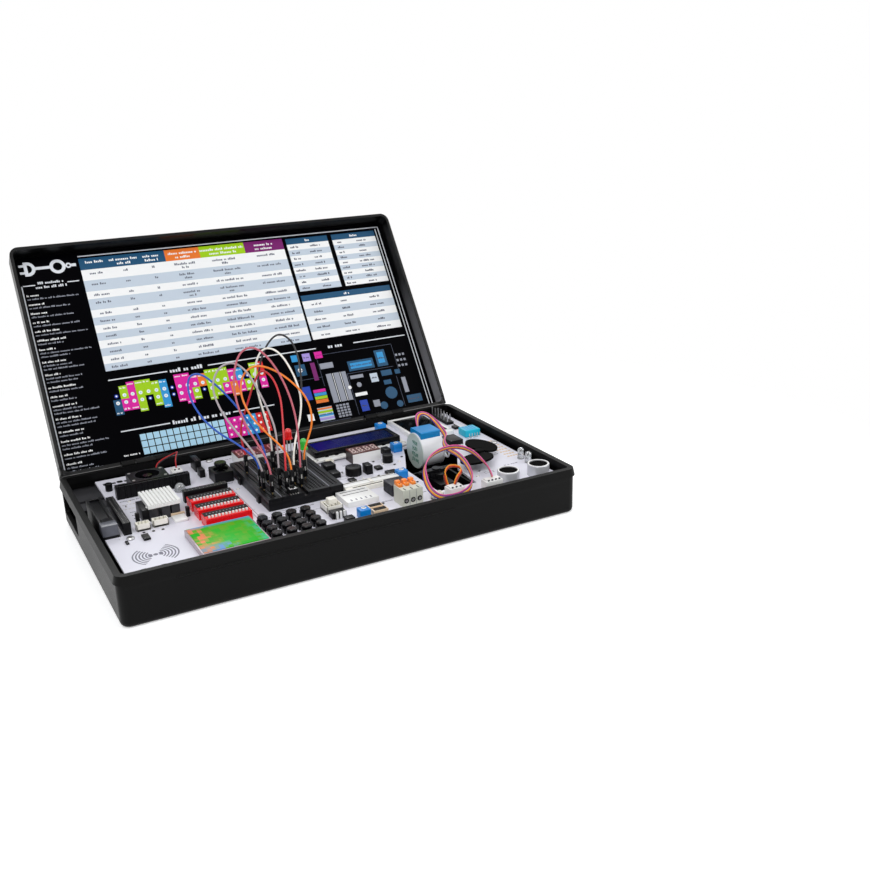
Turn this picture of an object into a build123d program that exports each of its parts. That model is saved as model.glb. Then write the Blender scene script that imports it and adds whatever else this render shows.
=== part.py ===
"""Digital logic trainer: a shallow black carry case with a hinged lid.  The base holds one white board full
of small modules, a breadboard and two motors; the lid carries a printed quick-reference panel.

Units are millimetres, +Z is up.  The origin is the middle of the case's flat underside, +X runs along the
front from left to right and +Y runs from the front to the hinges.  The lid is modelled closed and then turned
open.  Modules are placed in board coordinates: x and y from the board's front left corner, z from its top.
"""
from build123d import *
from math import atan, degrees, pi, radians, tan
import os

# ---------------------------------------------------------------- driving dimensions
# board
board_w = 308.0
board_d = 172.0
board_t = 1.6
board_corner_r = 2.0
# case base
case_h = 34.0
side_gap = 9.5            # board edge to the widest point of the case, left and right
end_gap = 8.0             # the same at the front and the back
board_drop = 6.0          # board top below the rim
case_wall = 2.8
case_floor = 2.4
case_corner_r = 6.0
case_foot_r = 3.5         # rounding of the bottom edge
rim_w = 4.0
lip_out = 1.2             # how far the lip stands out at its widest
lip_h = 5.5
bead_out = 0.6
bead_h = 1.4
bead_drop = 8.2
bead_x = (36.0, 225.0)    # ends of the finger bead, from the case's left side
# lid
lid_inset = 1.8           # lid side inside the rim's outer edge
lid_t = 16.5
lid_wall = 2.4
lid_top = 2.0
lid_corner_r = 7.0
lid_edge_r = 3.0
lid_gap = 0.2             # rim to lid rim, closed
lid_open = 124.0          # degrees from closed to the stop
panel_t = 0.8
panel_play = 0.5
# hinges
hinge_inset = 0.8         # hinge axis in front of the widest point of the back
knuckle_r = 3.0
knuckle_play = 0.4
pin_r = 1.2
pin_play = 0.05
base_pin_play = 0.03
lid_knuckle_w = 14.0
base_knuckle_w = 10.0
hinge_x = (-100.0, 100.0)
# fasteners and posts
post_r = 3.6
screw_r = 1.25
screw_play = 0.1
screw_head_r = 2.6
screw_head_h = 1.5
screw_l = 8.0
flat_play = 0.3           # between pieces that stand side by side

# ---------------------------------------------------------------- places worked out from them
case_w = board_w + 2 * side_gap
case_d = board_d + 2 * end_gap
board_top = case_h - board_drop
board_under = board_top - board_t
floor_z = case_floor - board_top          # top of the case floor, in board coordinates
hinge_y = case_d / 2 - hinge_inset
hinge_z = case_h + lid_gap

os.makedirs("parts", exist_ok=True)
nodes = {}


# ---------------------------------------------------------------- helpers
def on_board(x, y, z=0.0):
    """Location of a point given in board coordinates."""
    return Pos(x - board_w / 2, y - board_d / 2, z + board_top)


def block(x0, x1, y0, y1, z0, z1):
    """Box between two corners, in board coordinates."""
    centre = on_board((x0 + x1) / 2, (y0 + y1) / 2, (z0 + z1) / 2)
    return centre * Box(x1 - x0, y1 - y0, z1 - z0)


def soft_block(x0, x1, y0, y1, z0, z1, r):
    """Box with its upright and top edges rounded."""
    solid = block(x0, x1, y0, y1, z0, z1)
    edges = solid.edges().filter_by(Axis.Z) + solid.faces().sort_by(Axis.Z)[-1].edges()
    return fillet(edges, r)


def post(x, y, z0, z1, r):
    """Upright cylinder, in board coordinates."""
    return on_board(x, y, (z0 + z1) / 2) * Cylinder(r, z1 - z0)


def lying(x0, x1, y, z, r):
    """Cylinder along X, in board coordinates."""
    return on_board((x0 + x1) / 2, y, z) * Rot(0, 90, 0) * Cylinder(r, x1 - x0)


def slab(width, depth, r, z0, z1):
    """Rounded rectangle about the origin, raised from z0 to z1."""
    return Pos(0, 0, z0) * extrude(RectangleRounded(width, depth, r), z1 - z0)


def group(*solids):
    """Separate solids that share one node."""
    return Compound(children=list(solids))


def knuckles(centre, width, r):
    """Barrel of one hinge knuckle about the hinge axis."""
    return Pos(centre, hinge_y, hinge_z) * Rot(0, 90, 0) * Cylinder(r, width)


def base_knuckle_centres(x):
    """The two base knuckles either side of one lid knuckle."""
    reach = (lid_knuckle_w + base_knuckle_w) / 2 + knuckle_play
    return (x - reach, x + reach)


# ---------------------------------------------------------------- board layout (board coordinates)
left_step_x = 10.0        # the board steps in beside the tall socket ...
left_step_y = 64.0
port_notch_x = 15.0       # ... and again beside the computer's ports
computer_w, computer_d, computer_t = 85.0, 56.0, 1.4
computer_x, computer_y = -0.5, board_d + 3.0 - computer_d      # its front left corner
computer_lift = 7.6                        # above the case floor
port_notch_y = computer_y - 1.0
screw_spots = [(4.5, 4.5), (board_w - 4.5, 22.5), (board_w - 4.5, board_d - 4.5), (99.5, board_d - 4.5),
               (14.5, 57.0), (board_w - 4.5, 84.0), (155.5, 142.0), (98.0, 46.0)]

stepper_x, stepper_y, stepper_z = 240.0, 97.0, 2.3     # middle of the motor's label side
stepper_r = 14.0
stepper_l = 19.0
stepper_ear_reach = 21.0
stepper_ear_r = 3.5
stepper_ear_t = 0.8
stepper_hole_r = 2.1
stepper_hole_gap = 17.5
stepper_shaft_drop = 8.0
stepper_shaft_r = 2.5
stepper_shaft_l = 9.5
stepper_boss_r = 4.5
stepper_boss_l = 1.5
stepper_cap_w = 17.0
stepper_cap_top = 16.4
stepper_cap_foot = 10.5
stepper_play = 1.5        # board cut-out around the can
cradle_w = 14.0

servo_x, servo_y = 231.5, 42.0            # middle of the servo case
servo_w, servo_l, servo_h = 12.2, 22.8, 22.7
servo_foot = 2.6                           # pad height above the case floor
servo_ear_l, servo_ear_t, servo_ear_z = 4.7, 2.5, 15.9
servo_turret_r, servo_turret_h = 5.8, 4.0
servo_shaft_back = 5.5
servo_spline_r, servo_spline_h = 2.3, 2.4
horn_reach, horn_t = 14.0, 1.6
bay_x = (218.5, 247.5)
bay_y = (21.0, 63.0)
bay_wall = 1.6

fan_x, fan_y = 273.5, 57.0
fan_motor_r, fan_motor_h = 6.0, 4.6
propeller_r, propeller_lift = 25.0, 0.5
petal_w, petal_t = 17.0, 1.4
fan_axle_r = 0.8

port_h = 16.0
port_overhang = 2.0
mouth_w, mouth_h, mouth_depth = 12.6, 5.2, 9.0


# ---------------------------------------------------------------- case
def make_case_base():
    """Moulded tray: flared lip, port window in the left wall, screw posts and motor supports inside."""
    body_w = case_w - 2 * lip_out
    body_d = case_d - 2 * lip_out
    shell = slab(body_w, body_d, case_corner_r, 0, case_h)
    shell = fillet(shell.faces().sort_by(Axis.Z)[0].edges(), case_foot_r)
    lip_base = Pos(0, 0, case_h - lip_h) * RectangleRounded(case_w, case_d, case_corner_r + lip_out)
    shell += extrude(lip_base, lip_h, taper=degrees(atan(lip_out / lip_h)))
    bead_mid = (bead_x[0] + bead_x[1] - case_w) / 2
    bead_z = case_h - bead_drop
    bead = Pos(bead_mid, -body_d / 2, bead_z) * Box(bead_x[1] - bead_x[0], 2 * bead_out, bead_h)
    shell += chamfer(bead.edges().filter_by(Axis.X).sort_by(Axis.Y)[0:2], bead_out * 0.9)
    hollow = slab(body_w - 2 * case_wall, body_d - 2 * case_wall, case_corner_r - case_wall,
                  case_floor, case_h - lip_h)
    mouth = slab(body_w - 2 * rim_w, body_d - 2 * rim_w, case_corner_r - rim_w + 0.5,
                 case_h - lip_h - 1, case_h + 1)
    shell -= hollow + mouth
    # window for the computer's ports
    shell -= fillet(
        block(-side_gap - 1, -side_gap + lip_out + case_wall + 1, computer_y + 1.5, computer_y + computer_d - 4.5,
              floor_z + computer_lift, board_drop - lip_h - 1.2).edges().filter_by(Axis.X), 2.0)
    # posts under the board, each with its screw hole
    for x, y in screw_spots:
        shell += post(x, y, floor_z - case_floor / 2, -board_t, post_r)
        shell -= post(x, y, -board_t - screw_l, -board_t + 1, screw_r + screw_play)
    # posts under the computer
    for x in (computer_x + 6, computer_x + 64):
        for y in (computer_y + 4, computer_y + computer_d - 4):
            shell += post(x, y, floor_z - case_floor / 2, floor_z + computer_lift, post_r - 0.6)
    # saddle under the stepper motor
    saddle_x = stepper_x + (stepper_l - cradle_w) / 2
    saddle = block(saddle_x, saddle_x + cradle_w, stepper_y - 10, stepper_y + 10,
                   floor_z - case_floor / 2, stepper_z - stepper_r + 4)
    shell += saddle - lying(saddle_x - 1, saddle_x + cradle_w + 1, stepper_y, stepper_z, stepper_r + screw_play)
    # walls and pad of the servo bay
    bay = block(bay_x[0] - bay_wall, bay_x[1] + bay_wall, bay_y[0] - bay_wall, bay_y[1] + bay_wall,
                floor_z - case_floor / 2, -board_t)
    shell += bay - block(bay_x[0], bay_x[1], bay_y[0], bay_y[1], floor_z, 0)
    shell += block(servo_x - servo_w / 2, servo_x + servo_w / 2, servo_y - servo_l / 2, servo_y + servo_l / 2,
                   floor_z - case_floor / 2, floor_z + servo_foot)
    # hinge knuckles and the pockets for the lid's
    for x in hinge_x:
        shell -= knuckles(x, lid_knuckle_w + 2 * knuckle_play, knuckle_r + knuckle_play)
        for centre in base_knuckle_centres(x):
            shell += knuckles(centre, base_knuckle_w, knuckle_r)
            shell -= knuckles(centre, base_knuckle_w + 2, pin_r + base_pin_play)
    return shell


def opened(shape):
    """Turn a closed lid piece about the hinge axis to the open stop."""
    return Pos(0, hinge_y, hinge_z) * Rot(-lid_open, 0, 0) * Pos(0, -hinge_y, -hinge_z) * shape


lid_back = hinge_y - lid_gap
lid_front = -case_d / 2 + lip_out + lid_inset
lid_w = case_w - 2 * (lip_out + lid_inset)
lid_mid = (lid_back + lid_front) / 2
lid_d = lid_back - lid_front
lid_z = case_h + lid_gap


def make_case_lid():
    """Shallow lid with a rounded back edge and two moulded hinge knuckles."""
    shell = Pos(0, lid_mid, 0) * slab(lid_w, lid_d, lid_corner_r, lid_z, lid_z + lid_t)
    shell = fillet(shell.faces().sort_by(Axis.Z)[-1].edges(), lid_edge_r)
    shell -= Pos(0, lid_mid, 0) * slab(lid_w - 2 * lid_wall, lid_d - 2 * lid_wall, lid_corner_r - lid_wall,
                                       lid_z - 1, lid_z + lid_t - lid_top)
    for x in hinge_x:
        shell += knuckles(x, lid_knuckle_w, knuckle_r)
        shell -= knuckles(x, lid_knuckle_w + 2, pin_r + pin_play)
        for centre in base_knuckle_centres(x):
            shell -= knuckles(centre, base_knuckle_w + 2 * knuckle_play, knuckle_r + knuckle_play)
    return opened(shell)


def make_lid_panel():
    """Printed sheet that lines the inside of the lid."""
    top = lid_z + lid_t - lid_top
    width = lid_w - 2 * (lid_wall + panel_play)
    depth = lid_d - 2 * (lid_wall + panel_play)
    return opened(Pos(0, lid_mid, 0) * slab(width, depth, lid_corner_r - lid_wall, top - panel_t, top))


def make_hinge_pins():
    """One steel rod through each group of three knuckles."""
    length = lid_knuckle_w + 2 * (base_knuckle_w + knuckle_play)
    return group(*[knuckles(x, length, pin_r) for x in hinge_x])


# ---------------------------------------------------------------- board
def make_main_board():
    """Circuit board with its stepped left edge, motor cut-outs and screw holes."""
    outline = Polyline((0, 0), (board_w, 0), (board_w, board_d), (port_notch_x, board_d),
                       (port_notch_x, port_notch_y), (left_step_x, port_notch_y),
                       (left_step_x, left_step_y), (0, left_step_y), close=True)
    plate = on_board(0, 0, -board_t) * extrude(make_face(outline), board_t)
    outer = [(0, 0), (board_w, 0), (board_w, board_d)]
    corners = [e for e in plate.edges().filter_by(Axis.Z)
               if any(abs(e.center().X + board_w / 2 - x) < 0.1 and abs(e.center().Y + board_d / 2 - y) < 0.1
                      for x, y in outer)]
    plate = fillet(corners, board_corner_r)
    half = stepper_r + stepper_play
    plate -= block(stepper_x - 1, stepper_x + stepper_l + 2, stepper_y - half, stepper_y + half, -board_t - 1, 1)
    slot = stepper_ear_reach + 1
    plate -= block(stepper_x + stepper_l - 1.5, stepper_x + stepper_l + 2, stepper_y - slot, stepper_y + slot,
                   -board_t - 1, 1)
    plate -= block(bay_x[0], bay_x[1], bay_y[0], bay_y[1], -board_t - 1, 1)
    for x, y in screw_spots:
        plate -= post(x, y, -board_t - 1, 1, screw_r + 2 * screw_play)
    return plate


def make_board_screws():
    """Pan-head screws, heads on the board and shanks in the posts."""
    screws = []
    for x, y in screw_spots:
        head = post(x, y, 0, screw_head_h, screw_head_r)
        head = chamfer(head.faces().sort_by(Axis.Z)[-1].edges(), 0.6)
        head -= block(x - 1.6, x + 1.6, y - 0.35, y + 0.35, screw_head_h - 0.6, screw_head_h + 1)
        screws.append(head + post(x, y, -screw_l, 0.5, screw_r))
    return group(*screws)


def make_computer_board():
    """Single-board computer on its posts, with the ports that face the window in the left wall."""
    z0 = floor_z + computer_lift
    z1 = z0 + computer_t
    plate = block(computer_x, computer_x + computer_w, computer_y, computer_y + computer_d, z0, z1)
    solids = [plate]
    front = computer_x - port_overhang
    for y in (computer_y + 2.5, computer_y + 20.5):
        port = block(front, front + 17, y, y + 14.4, z1, z1 + port_h)
        for lift in (1.6, 8.8):
            port -= block(front - 1, front + mouth_depth, y + 0.9, y + 0.9 + mouth_w,
                          z1 + lift, z1 + lift + mouth_h)
        solids.append(port)
    y = computer_y + 38.5
    network = block(front, front + 21, y, y + 15.8, z1, z1 + 13.5)
    network -= block(front - 1, front + mouth_depth, y + 1.9, y + 13.9, z1 + 2.5, z1 + 10.5)
    solids.append(network)
    solids.append(block(computer_x + 30, computer_x + 44, computer_y + 20, computer_y + 34, z1, z1 + 2.4))
    solids.append(block(computer_x + 24, computer_x + 75, computer_y + computer_d - 9,
                        computer_y + computer_d - 4, z1, -board_t))
    return group(*solids)


# ---------------------------------------------------------------- sockets and headers
def make_board_headers():
    """Black sockets: the tall socket beside the board, the long pin socket and the small ones."""
    tall = block(-1, left_step_x - 1, left_step_y + 0.5, port_notch_y - 1, floor_z, 9)
    tall -= block(1, left_step_x - 3, left_step_y + 14, port_notch_y - 3, 7.5, 10)
    header = block(12, 17, 64, 115.4, 0, 8.5)
    small = [block(60.5, 91.5, 96, 101, 0, 8.5), block(84, 88.5, 150, 164, 0, 9), block(83.5, 87.5, 137, 145, 0, 6)]
    posts = [block(23, 25.5, 77, 79.5, 0, 9), block(55, 57.5, 72, 74.5, 0, 8), post(20.5, 149, 0, 5.6, 2.5)]
    return group(tall, header, *small, *posts)


def make_card_slot():
    """Edge socket for a plug-in card, ribbed along its front."""
    x0, x1, y0, y1, h = 21.5, 73.5, 127.0, 132.5, 9.5
    body = block(x0, x1, y0, y1, 0, h)
    body -= block(x0 + 2, x1 - 2, y0 + 2, y0 + 3.6, 3, h + 1)
    pitch = 4.0
    ribs = int((x1 - x0) / pitch)
    for i in range(ribs):
        x = x0 + (i + 0.5) * pitch
        body -= block(x - 0.5, x + 0.5, y0 - 1, y0 + 0.6, 1, h + 1)
    return body


cooler_x, cooler_y = 47.1, 143.2
cooler_w, cooler_d, cooler_h = 27.0, 20.0, 9.0
cooler_bore_r = 8.8
cooler_floor = 1.2
cooler_blade_r = 8.2
cooler_hub_r = 3.2


def make_cooler_housing():
    """Frame of the small cooling fan with its round well and centre pin."""
    body = block(cooler_x - cooler_w / 2, cooler_x + cooler_w / 2, cooler_y - cooler_d / 2,
                 cooler_y + cooler_d / 2, 0, cooler_h)
    body = fillet(body.edges().filter_by(Axis.Z), 1.5)
    body -= post(cooler_x, cooler_y, cooler_floor, cooler_h + 1, cooler_bore_r)
    return body + post(cooler_x, cooler_y, 0, cooler_h - 2.5, fan_axle_r)


def make_cooler_fan():
    """Hub with seven swept blades, running on the centre pin."""
    hub = post(cooler_x, cooler_y, cooler_floor + 0.6, cooler_h - 0.6, cooler_hub_r)
    hub -= post(cooler_x, cooler_y, cooler_floor, cooler_h - 2, fan_axle_r + pin_play)
    blade_h = 4.6
    wheel = hub
    for i in range(7):
        blade = Pos(5.4, 0, 0) * Rot(38, 0, 0) * Box(5.4, 4.6, 0.8)
        wheel += on_board(cooler_x, cooler_y, cooler_floor + 0.7 + blade_h / 2 + 0.3) * Rot(0, 0, i * 360 / 7) * blade
    keep = post(cooler_x, cooler_y, cooler_floor + 0.4, cooler_h - 0.4, cooler_blade_r)
    return (wheel & keep) - post(cooler_x, cooler_y, cooler_floor, cooler_h - 2, fan_axle_r + pin_play)


def make_heatsink_block():
    """White ribbed block carried over the board by a round can and two dark columns."""
    x0, x1, y0, y1, z0, z1 = 31.5, 53.0, 76.0, 104.5, 9.3, 12.0
    top = block(x0, x1, y0, y1, z0, z1)
    pitch = 2.4
    for i in range(8):
        x = x0 + 2.1 + i * pitch
        top -= block(x - 0.4, x + 0.4, y0 - 1, y1 + 1, z1 - 1.2, z1 + 1)
    can = post(x0 + 3.6, y0 + 5, 0, z0, 4.2)
    columns = [block(x, x + 5.5, y0 + 2, y1 - 3, 0, z0) for x in (x0 + 9, x0 + 15.6)]
    return group(top, can, *columns)


socket_wall, socket_floor = 1.0, 1.5


def cream_socket(x0, x1, y0, y1, h):
    """Open-topped wire socket."""
    body = block(x0, x1, y0, y1, 0, h)
    return body - block(x0 + socket_wall, x1 - socket_wall, y0 + socket_wall, y1 - socket_wall, socket_floor, h + 1)


def plugged_socket(x0, x1, y0, y1, h):
    """Wire socket with its plug pushed in."""
    plug = block(x0 + socket_wall, x1 - socket_wall, y0 + socket_wall, y1 - socket_wall, 0, h)
    return block(x0, x1, y0, y1, 0, h - socket_wall) + plug


def make_cream_sockets():
    """All the off-white sockets and the long card guide."""
    free = [(20.5, 29.5, 65, 75.5, 6), (31.5, 41.5, 65, 75.5, 6), (136.5, 148, 25, 37.5, 6),
            (171.5, 177.5, 107.3, 113.3, 4), (207.5, 215, 6.5, 12, 5)]
    in_use = [(66.5, 74.5, 150, 156.5, 5.5), (246, 259.5, 1.5, 9, 8), (219.5, 231, 6, 14, 7)]
    solids = [cream_socket(*s) for s in free] + [plugged_socket(*s) for s in in_use]
    solids.append(soft_block(45.5, 54.5, 66, 76, 0, 4, 0.6))
    flat = block(152.5, 175.5, 27, 48.5, 0, 4)
    flat -= block(154.5, 173.5, 40, 42, 2.5, 5) + block(154.5, 173.5, 44.5, 46.5, 2.5, 5)
    solids.append(flat)
    guide = block(161.5, 207.5, 49.5, 62.5, 0, 4)
    guide -= block(164, 184, 53.5, 55.5, 1.5, 5) + block(186, 205, 53.5, 55.5, 1.5, 5)
    solids.append(guide)
    frame = block(160.5, 172.5, 4, 18, 0, 5)
    frame -= block(162, 171, 5.5, 10, 1.5, 6) + block(162, 171, 12, 16.5, 1.5, 6)
    solids.append(frame)
    return group(*solids)


# ---------------------------------------------------------------- switches
dip_x, dip_w, dip_d, dip_h = 60.5, 31.0, 12.0, 7.0
dip_front, dip_pitch = 44.5, 17.0
dip_count = 12
dip_lever_pitch, dip_lever_w, dip_lever_l, dip_lever_h = 2.3, 1.3, 1.6, 2.6
dip_travel = 1.6
dip_well = 1.4


def dip_lever_x(i):
    """Middle of one lever of a bank."""
    return dip_x + dip_w / 2 + (i - (dip_count - 1) / 2) * dip_lever_pitch


def make_dip_bodies():
    """Three red switch banks, each with a lever well and a row of marks behind it."""
    bodies = []
    for bank in range(3):
        y0 = dip_front + bank * dip_pitch
        body = block(dip_x, dip_x + dip_w, y0, y0 + dip_d, 0, dip_h)
        body = fillet(body.faces().sort_by(Axis.Z)[-1].edges(), 0.4)
        body -= block(dip_lever_x(0) - 1.1, dip_lever_x(dip_count - 1) + 1.1, y0 + 1.4,
                      y0 + 1.4 + dip_lever_l + dip_travel + 0.4, dip_h - dip_well, dip_h + 1)
        body -= block(dip_x + 1.5, dip_x + dip_w - 1.5, y0 + 7, y0 + 10.8, dip_h - 0.8, dip_h + 1)
        bodies.append(body)
    return group(*bodies)


def make_dip_levers(bank):
    """The twelve levers of one bank, all slid to the front."""
    y0 = dip_front + bank * dip_pitch + 1.4 + 0.2
    z0 = dip_h - dip_well
    return group(*[block(dip_lever_x(i) - dip_lever_w / 2, dip_lever_x(i) + dip_lever_w / 2,
                         y0, y0 + dip_lever_l, z0, z0 + dip_lever_h) for i in range(dip_count)])


key_x, key_y = 94.0, 5.2
key_pitch_x, key_pitch_y = 9.95, 9.0
key_body_w, key_body_h = 6.2, 3.3
key_stem_r, key_stem_play, key_well = 1.7, 0.08, 1.8
key_cap_r, key_cap_top, key_cap_t = 3.5, 6.0, 1.9
key_travel = 0.5


def key_spot(i):
    """Middle of one key, counted along the rows from the front left."""
    return key_x + (i % 4) * key_pitch_x, key_y + (i // 4) * key_pitch_y


def make_key_switches():
    """Square switch bodies under the key caps."""
    bodies = []
    for i in range(16):
        x, y = key_spot(i)
        half = key_body_w / 2
        body = block(x - half, x + half, y - half, y + half, 0, key_body_h)
        bodies.append(body - post(x, y, key_body_h - key_well, key_body_h + 1, key_stem_r + key_stem_play))
    return group(*bodies)


def make_key_cap(i):
    """Round cap and stem of one key, up."""
    x, y = key_spot(i)
    cap = post(x, y, key_cap_top - key_cap_t, key_cap_top, key_cap_r)
    cap = chamfer(cap.faces().sort_by(Axis.Z)[-1].edges(), 0.5)
    return cap + post(x, y, key_body_h - key_well + key_travel + 0.2, key_cap_top - 1, key_stem_r)


joy_x, joy_y = 96.3, 127.0
joy_w, joy_d, joy_h = 14.0, 17.0, 8.0
joy_well_r = 5.6
joy_pivot_z = 4.4
gimbal_r, gimbal_bore_r = 4.9, 3.4
joy_axle_r = 0.9
joy_boss_r, joy_boss_h = 2.4, 3.2
joy_cap_r, joy_cap_z = 4.4, 10.8


def make_joystick_base():
    """Square joystick body with a round well and the sockets of the gimbal's axle."""
    body = block(joy_x - joy_w / 2, joy_x + joy_w / 2, joy_y - joy_d / 2, joy_y + joy_d / 2, 0, joy_h)
    body = fillet(body.edges().filter_by(Axis.Z), 1.2)
    body -= post(joy_x, joy_y, 1.2, joy_h + 1, joy_well_r)
    axle = on_board(joy_x, joy_y, joy_pivot_z) * Rot(90, 0, 0) * Cylinder(joy_axle_r + pin_play, 2 * joy_well_r + 2.2)
    return body - axle


def make_joystick_gimbal():
    """Ring that tips left and right on its two stub axles and carries the stick's axle."""
    ring = post(joy_x, joy_y, joy_pivot_z - 1.5, joy_pivot_z + 1.5, gimbal_r)
    axle = on_board(joy_x, joy_y, joy_pivot_z) * Rot(90, 0, 0) * Cylinder(joy_axle_r, 2 * joy_well_r + 2.0)
    ring = ring + axle - post(joy_x, joy_y, joy_pivot_z - 2, joy_pivot_z + 2, gimbal_bore_r)
    return ring - lying(joy_x - gimbal_r - 1, joy_x + gimbal_r + 1, joy_y, joy_pivot_z, joy_axle_r + pin_play)


def make_joystick_stick():
    """Stick with its axle, boss and round cap."""
    stick = lying(joy_x - gimbal_r + 0.2, joy_x + gimbal_r - 0.2, joy_y, joy_pivot_z, joy_axle_r)
    stick += post(joy_x, joy_y, joy_pivot_z - joy_boss_h / 2, joy_pivot_z + joy_boss_h / 2, joy_boss_r)
    stick += post(joy_x, joy_y, joy_pivot_z, joy_cap_z + 1, 1.6)
    cap = post(joy_x, joy_y, joy_cap_z, joy_cap_z + 2.6, joy_cap_r)
    return stick + chamfer(cap.edges(), 0.6)


# ---------------------------------------------------------------- displays
def make_led_matrix():
    """Eight by eight light matrix: board, frame and clear cover with its cell lines."""
    x0, x1, y0, y1 = 45.0, 88.5, 0.5, 42.0
    frame = block(x0, x1, y0, y1, 0, 3.4)
    cover = block(x0 + 0.3, x1 - 0.3, y0 + 0.3, y1 - 0.3, 3.4, 5.0)
    cover = chamfer(cover.faces().sort_by(Axis.Z)[-1].edges(), 0.5)
    for i in range(1, 8):
        x = x0 + i * (x1 - x0) / 8
        y = y0 + i * (y1 - y0) / 8
        cover -= block(x - 0.2, x + 0.2, y0, y1, 4.6, 6) + block(x0, x1, y - 0.2, y + 0.2, 4.6, 6)
    return group(frame, cover)


lcd_x, lcd_y, lcd_w, lcd_d = 163.5, 114.5, 80.0, 36.0


def make_lcd_module():
    """Character display: its board on four spacers, the metal frame and the window."""
    plate = block(lcd_x, lcd_x + lcd_w, lcd_y, lcd_y + lcd_d, 1.4, 3.0)
    spacers = [post(x, y, 0, 1.4, 2.2) for x in (lcd_x + 2.8, lcd_x + lcd_w - 2.8)
               for y in (lcd_y + 2.8, lcd_y + lcd_d - 2.8)]
    frame = block(lcd_x + 4, lcd_x + 76, lcd_y + 6, lcd_y + 30, 3.0, 8.0)
    frame = fillet(frame.edges().filter_by(Axis.Z), 1.0)
    frame -= block(lcd_x + 7.5, lcd_x + 72.5, lcd_y + 9.5, lcd_y + 26.5, 7.0, 9)
    window = block(lcd_x + 7.6, lcd_x + 72.4, lcd_y + 9.6, lcd_y + 26.4, 7.0, 7.6)
    return group(plate, frame, window, *spacers)


def make_tft_display():
    """Colour display: white carrier with the dark glass let into it."""
    x0, x1, y0, y1 = 253.0, 287.5, 119.5, 171.0
    carrier = soft_block(x0, x1, y0, y1, 0, 3.6, 0.5)
    carrier -= block(x0 + 3, x1 - 3, y0 + 6, y1 - 4, 2.4, 5)
    glass = block(x0 + 3.1, x1 - 3.1, y0 + 6.1, y1 - 4.1, 2.4, 3.8)
    return group(carrier, glass)


def digit_display(x0, x1, y0, y1, h):
    """Four-digit display block with a chamfered face."""
    body = block(x0, x1, y0, y1, 0, h)
    return chamfer(body.faces().sort_by(Axis.Z)[-1].edges(), 0.4)


def make_segment_displays():
    """The small display in front of the character display and the wide one behind the breadboard."""
    return group(digit_display(189.5, 212.5, 100, 113.5, 9), digit_display(115, 148.5, 143, 160, 8))


# ---------------------------------------------------------------- modules
def make_breadboard():
    """Half-size breadboard: centre channel, rail grooves and side keys."""
    x0, x1, y0, y1, h = 105.0, 159.5, 50.0, 133.0, 8.5
    body = block(x0, x1, y0, y1, 0, h)
    body = fillet(body.edges().filter_by(Axis.Z), 0.8)
    mid = (x0 + x1) / 2
    body -= block(mid - 1.4, mid + 1.4, y0 - 1, y1 + 1, h - 2.4, h + 1)
    for x in (x0 + 9.6, x1 - 9.6):
        body -= block(x - 0.3, x + 0.3, y0 - 1, y1 + 1, h - 1.0, h + 1)
    for y in (y0 + 20, y0 + 60):
        body += block(x0 - 1.4, x0 + 1, y - 2.5, y + 2.5, 0, 5)
    return body


def make_relay():
    """Dark relay block on its foot."""
    return soft_block(186.5, 202.0, 32, 48.8, 0, 13, 0.6)


terminal = (184.5, 199.5, 8.0, 22.0, 12.0)     # x0, x1, y0, y1, height
terminal_hole = 3.0
lever_pivot_y, lever_pivot_z = 19.0, 9.0
lever_axle_r = 0.8
lever_t = 1.4


def make_terminal_block():
    """Three-way spring terminal: wire holes in front, slots for the levers on top."""
    x0, x1, y0, y1, h = terminal
    body = block(x0, x1, y0, y1, 0, h)
    way = (x1 - x0) / 3
    for i in range(3):
        x = x0 + (i + 0.5) * way
        body -= block(x - terminal_hole / 2, x + terminal_hole / 2, y0 - 1, y0 + 5, 3, 3 + terminal_hole)
        body -= block(x - 1.7, x + 1.7, y0 + 7, y1 + 1, lever_pivot_z - 2.2, h + 1)
    return body - lying(x0 + 1, x1 - 1, lever_pivot_y, lever_pivot_z, lever_axle_r + pin_play)


def make_terminal_levers():
    """Three orange levers on one axle; the fingers lie forward over the block."""
    x0, x1, y0, y1, h = terminal
    way = (x1 - x0) / 3
    solid = lying(x0 + 1.2, x1 - 1.2, lever_pivot_y, lever_pivot_z, lever_axle_r)
    for i in range(3):
        x = x0 + (i + 0.5) * way
        solid += lying(x - 1.4, x + 1.4, lever_pivot_y, lever_pivot_z, 1.8)
        solid += block(x - 1.4, x + 1.4, y0 + 7.8, lever_pivot_y, lever_pivot_z + 0.4, lever_pivot_z + 1.8)
    return solid


trimmer_spots = [(236, 153.5), (226.5, 104), (209.2, 53.5), (147, 1.2)]
trimmer_w, trimmer_h = 9.3, 5.0


def make_trimmers():
    """Square blue trimmers with a slotted screw."""
    solids = []
    for x, y in trimmer_spots:
        body = block(x, x + trimmer_w, y, y + trimmer_w, 0, trimmer_h)
        mid_x, mid_y = x + trimmer_w / 2, y + trimmer_w / 2
        body -= post(mid_x, mid_y, trimmer_h - 0.8, trimmer_h + 1, 2.2)
        body += post(mid_x, mid_y, trimmer_h - 1, trimmer_h - 0.1, 1.9)
        body -= block(mid_x - 1.5, mid_x + 1.5, mid_y - 0.3, mid_y + 0.3, trimmer_h - 0.5, trimmer_h + 1)
        solids.append(body)
    return group(*solids)


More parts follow.
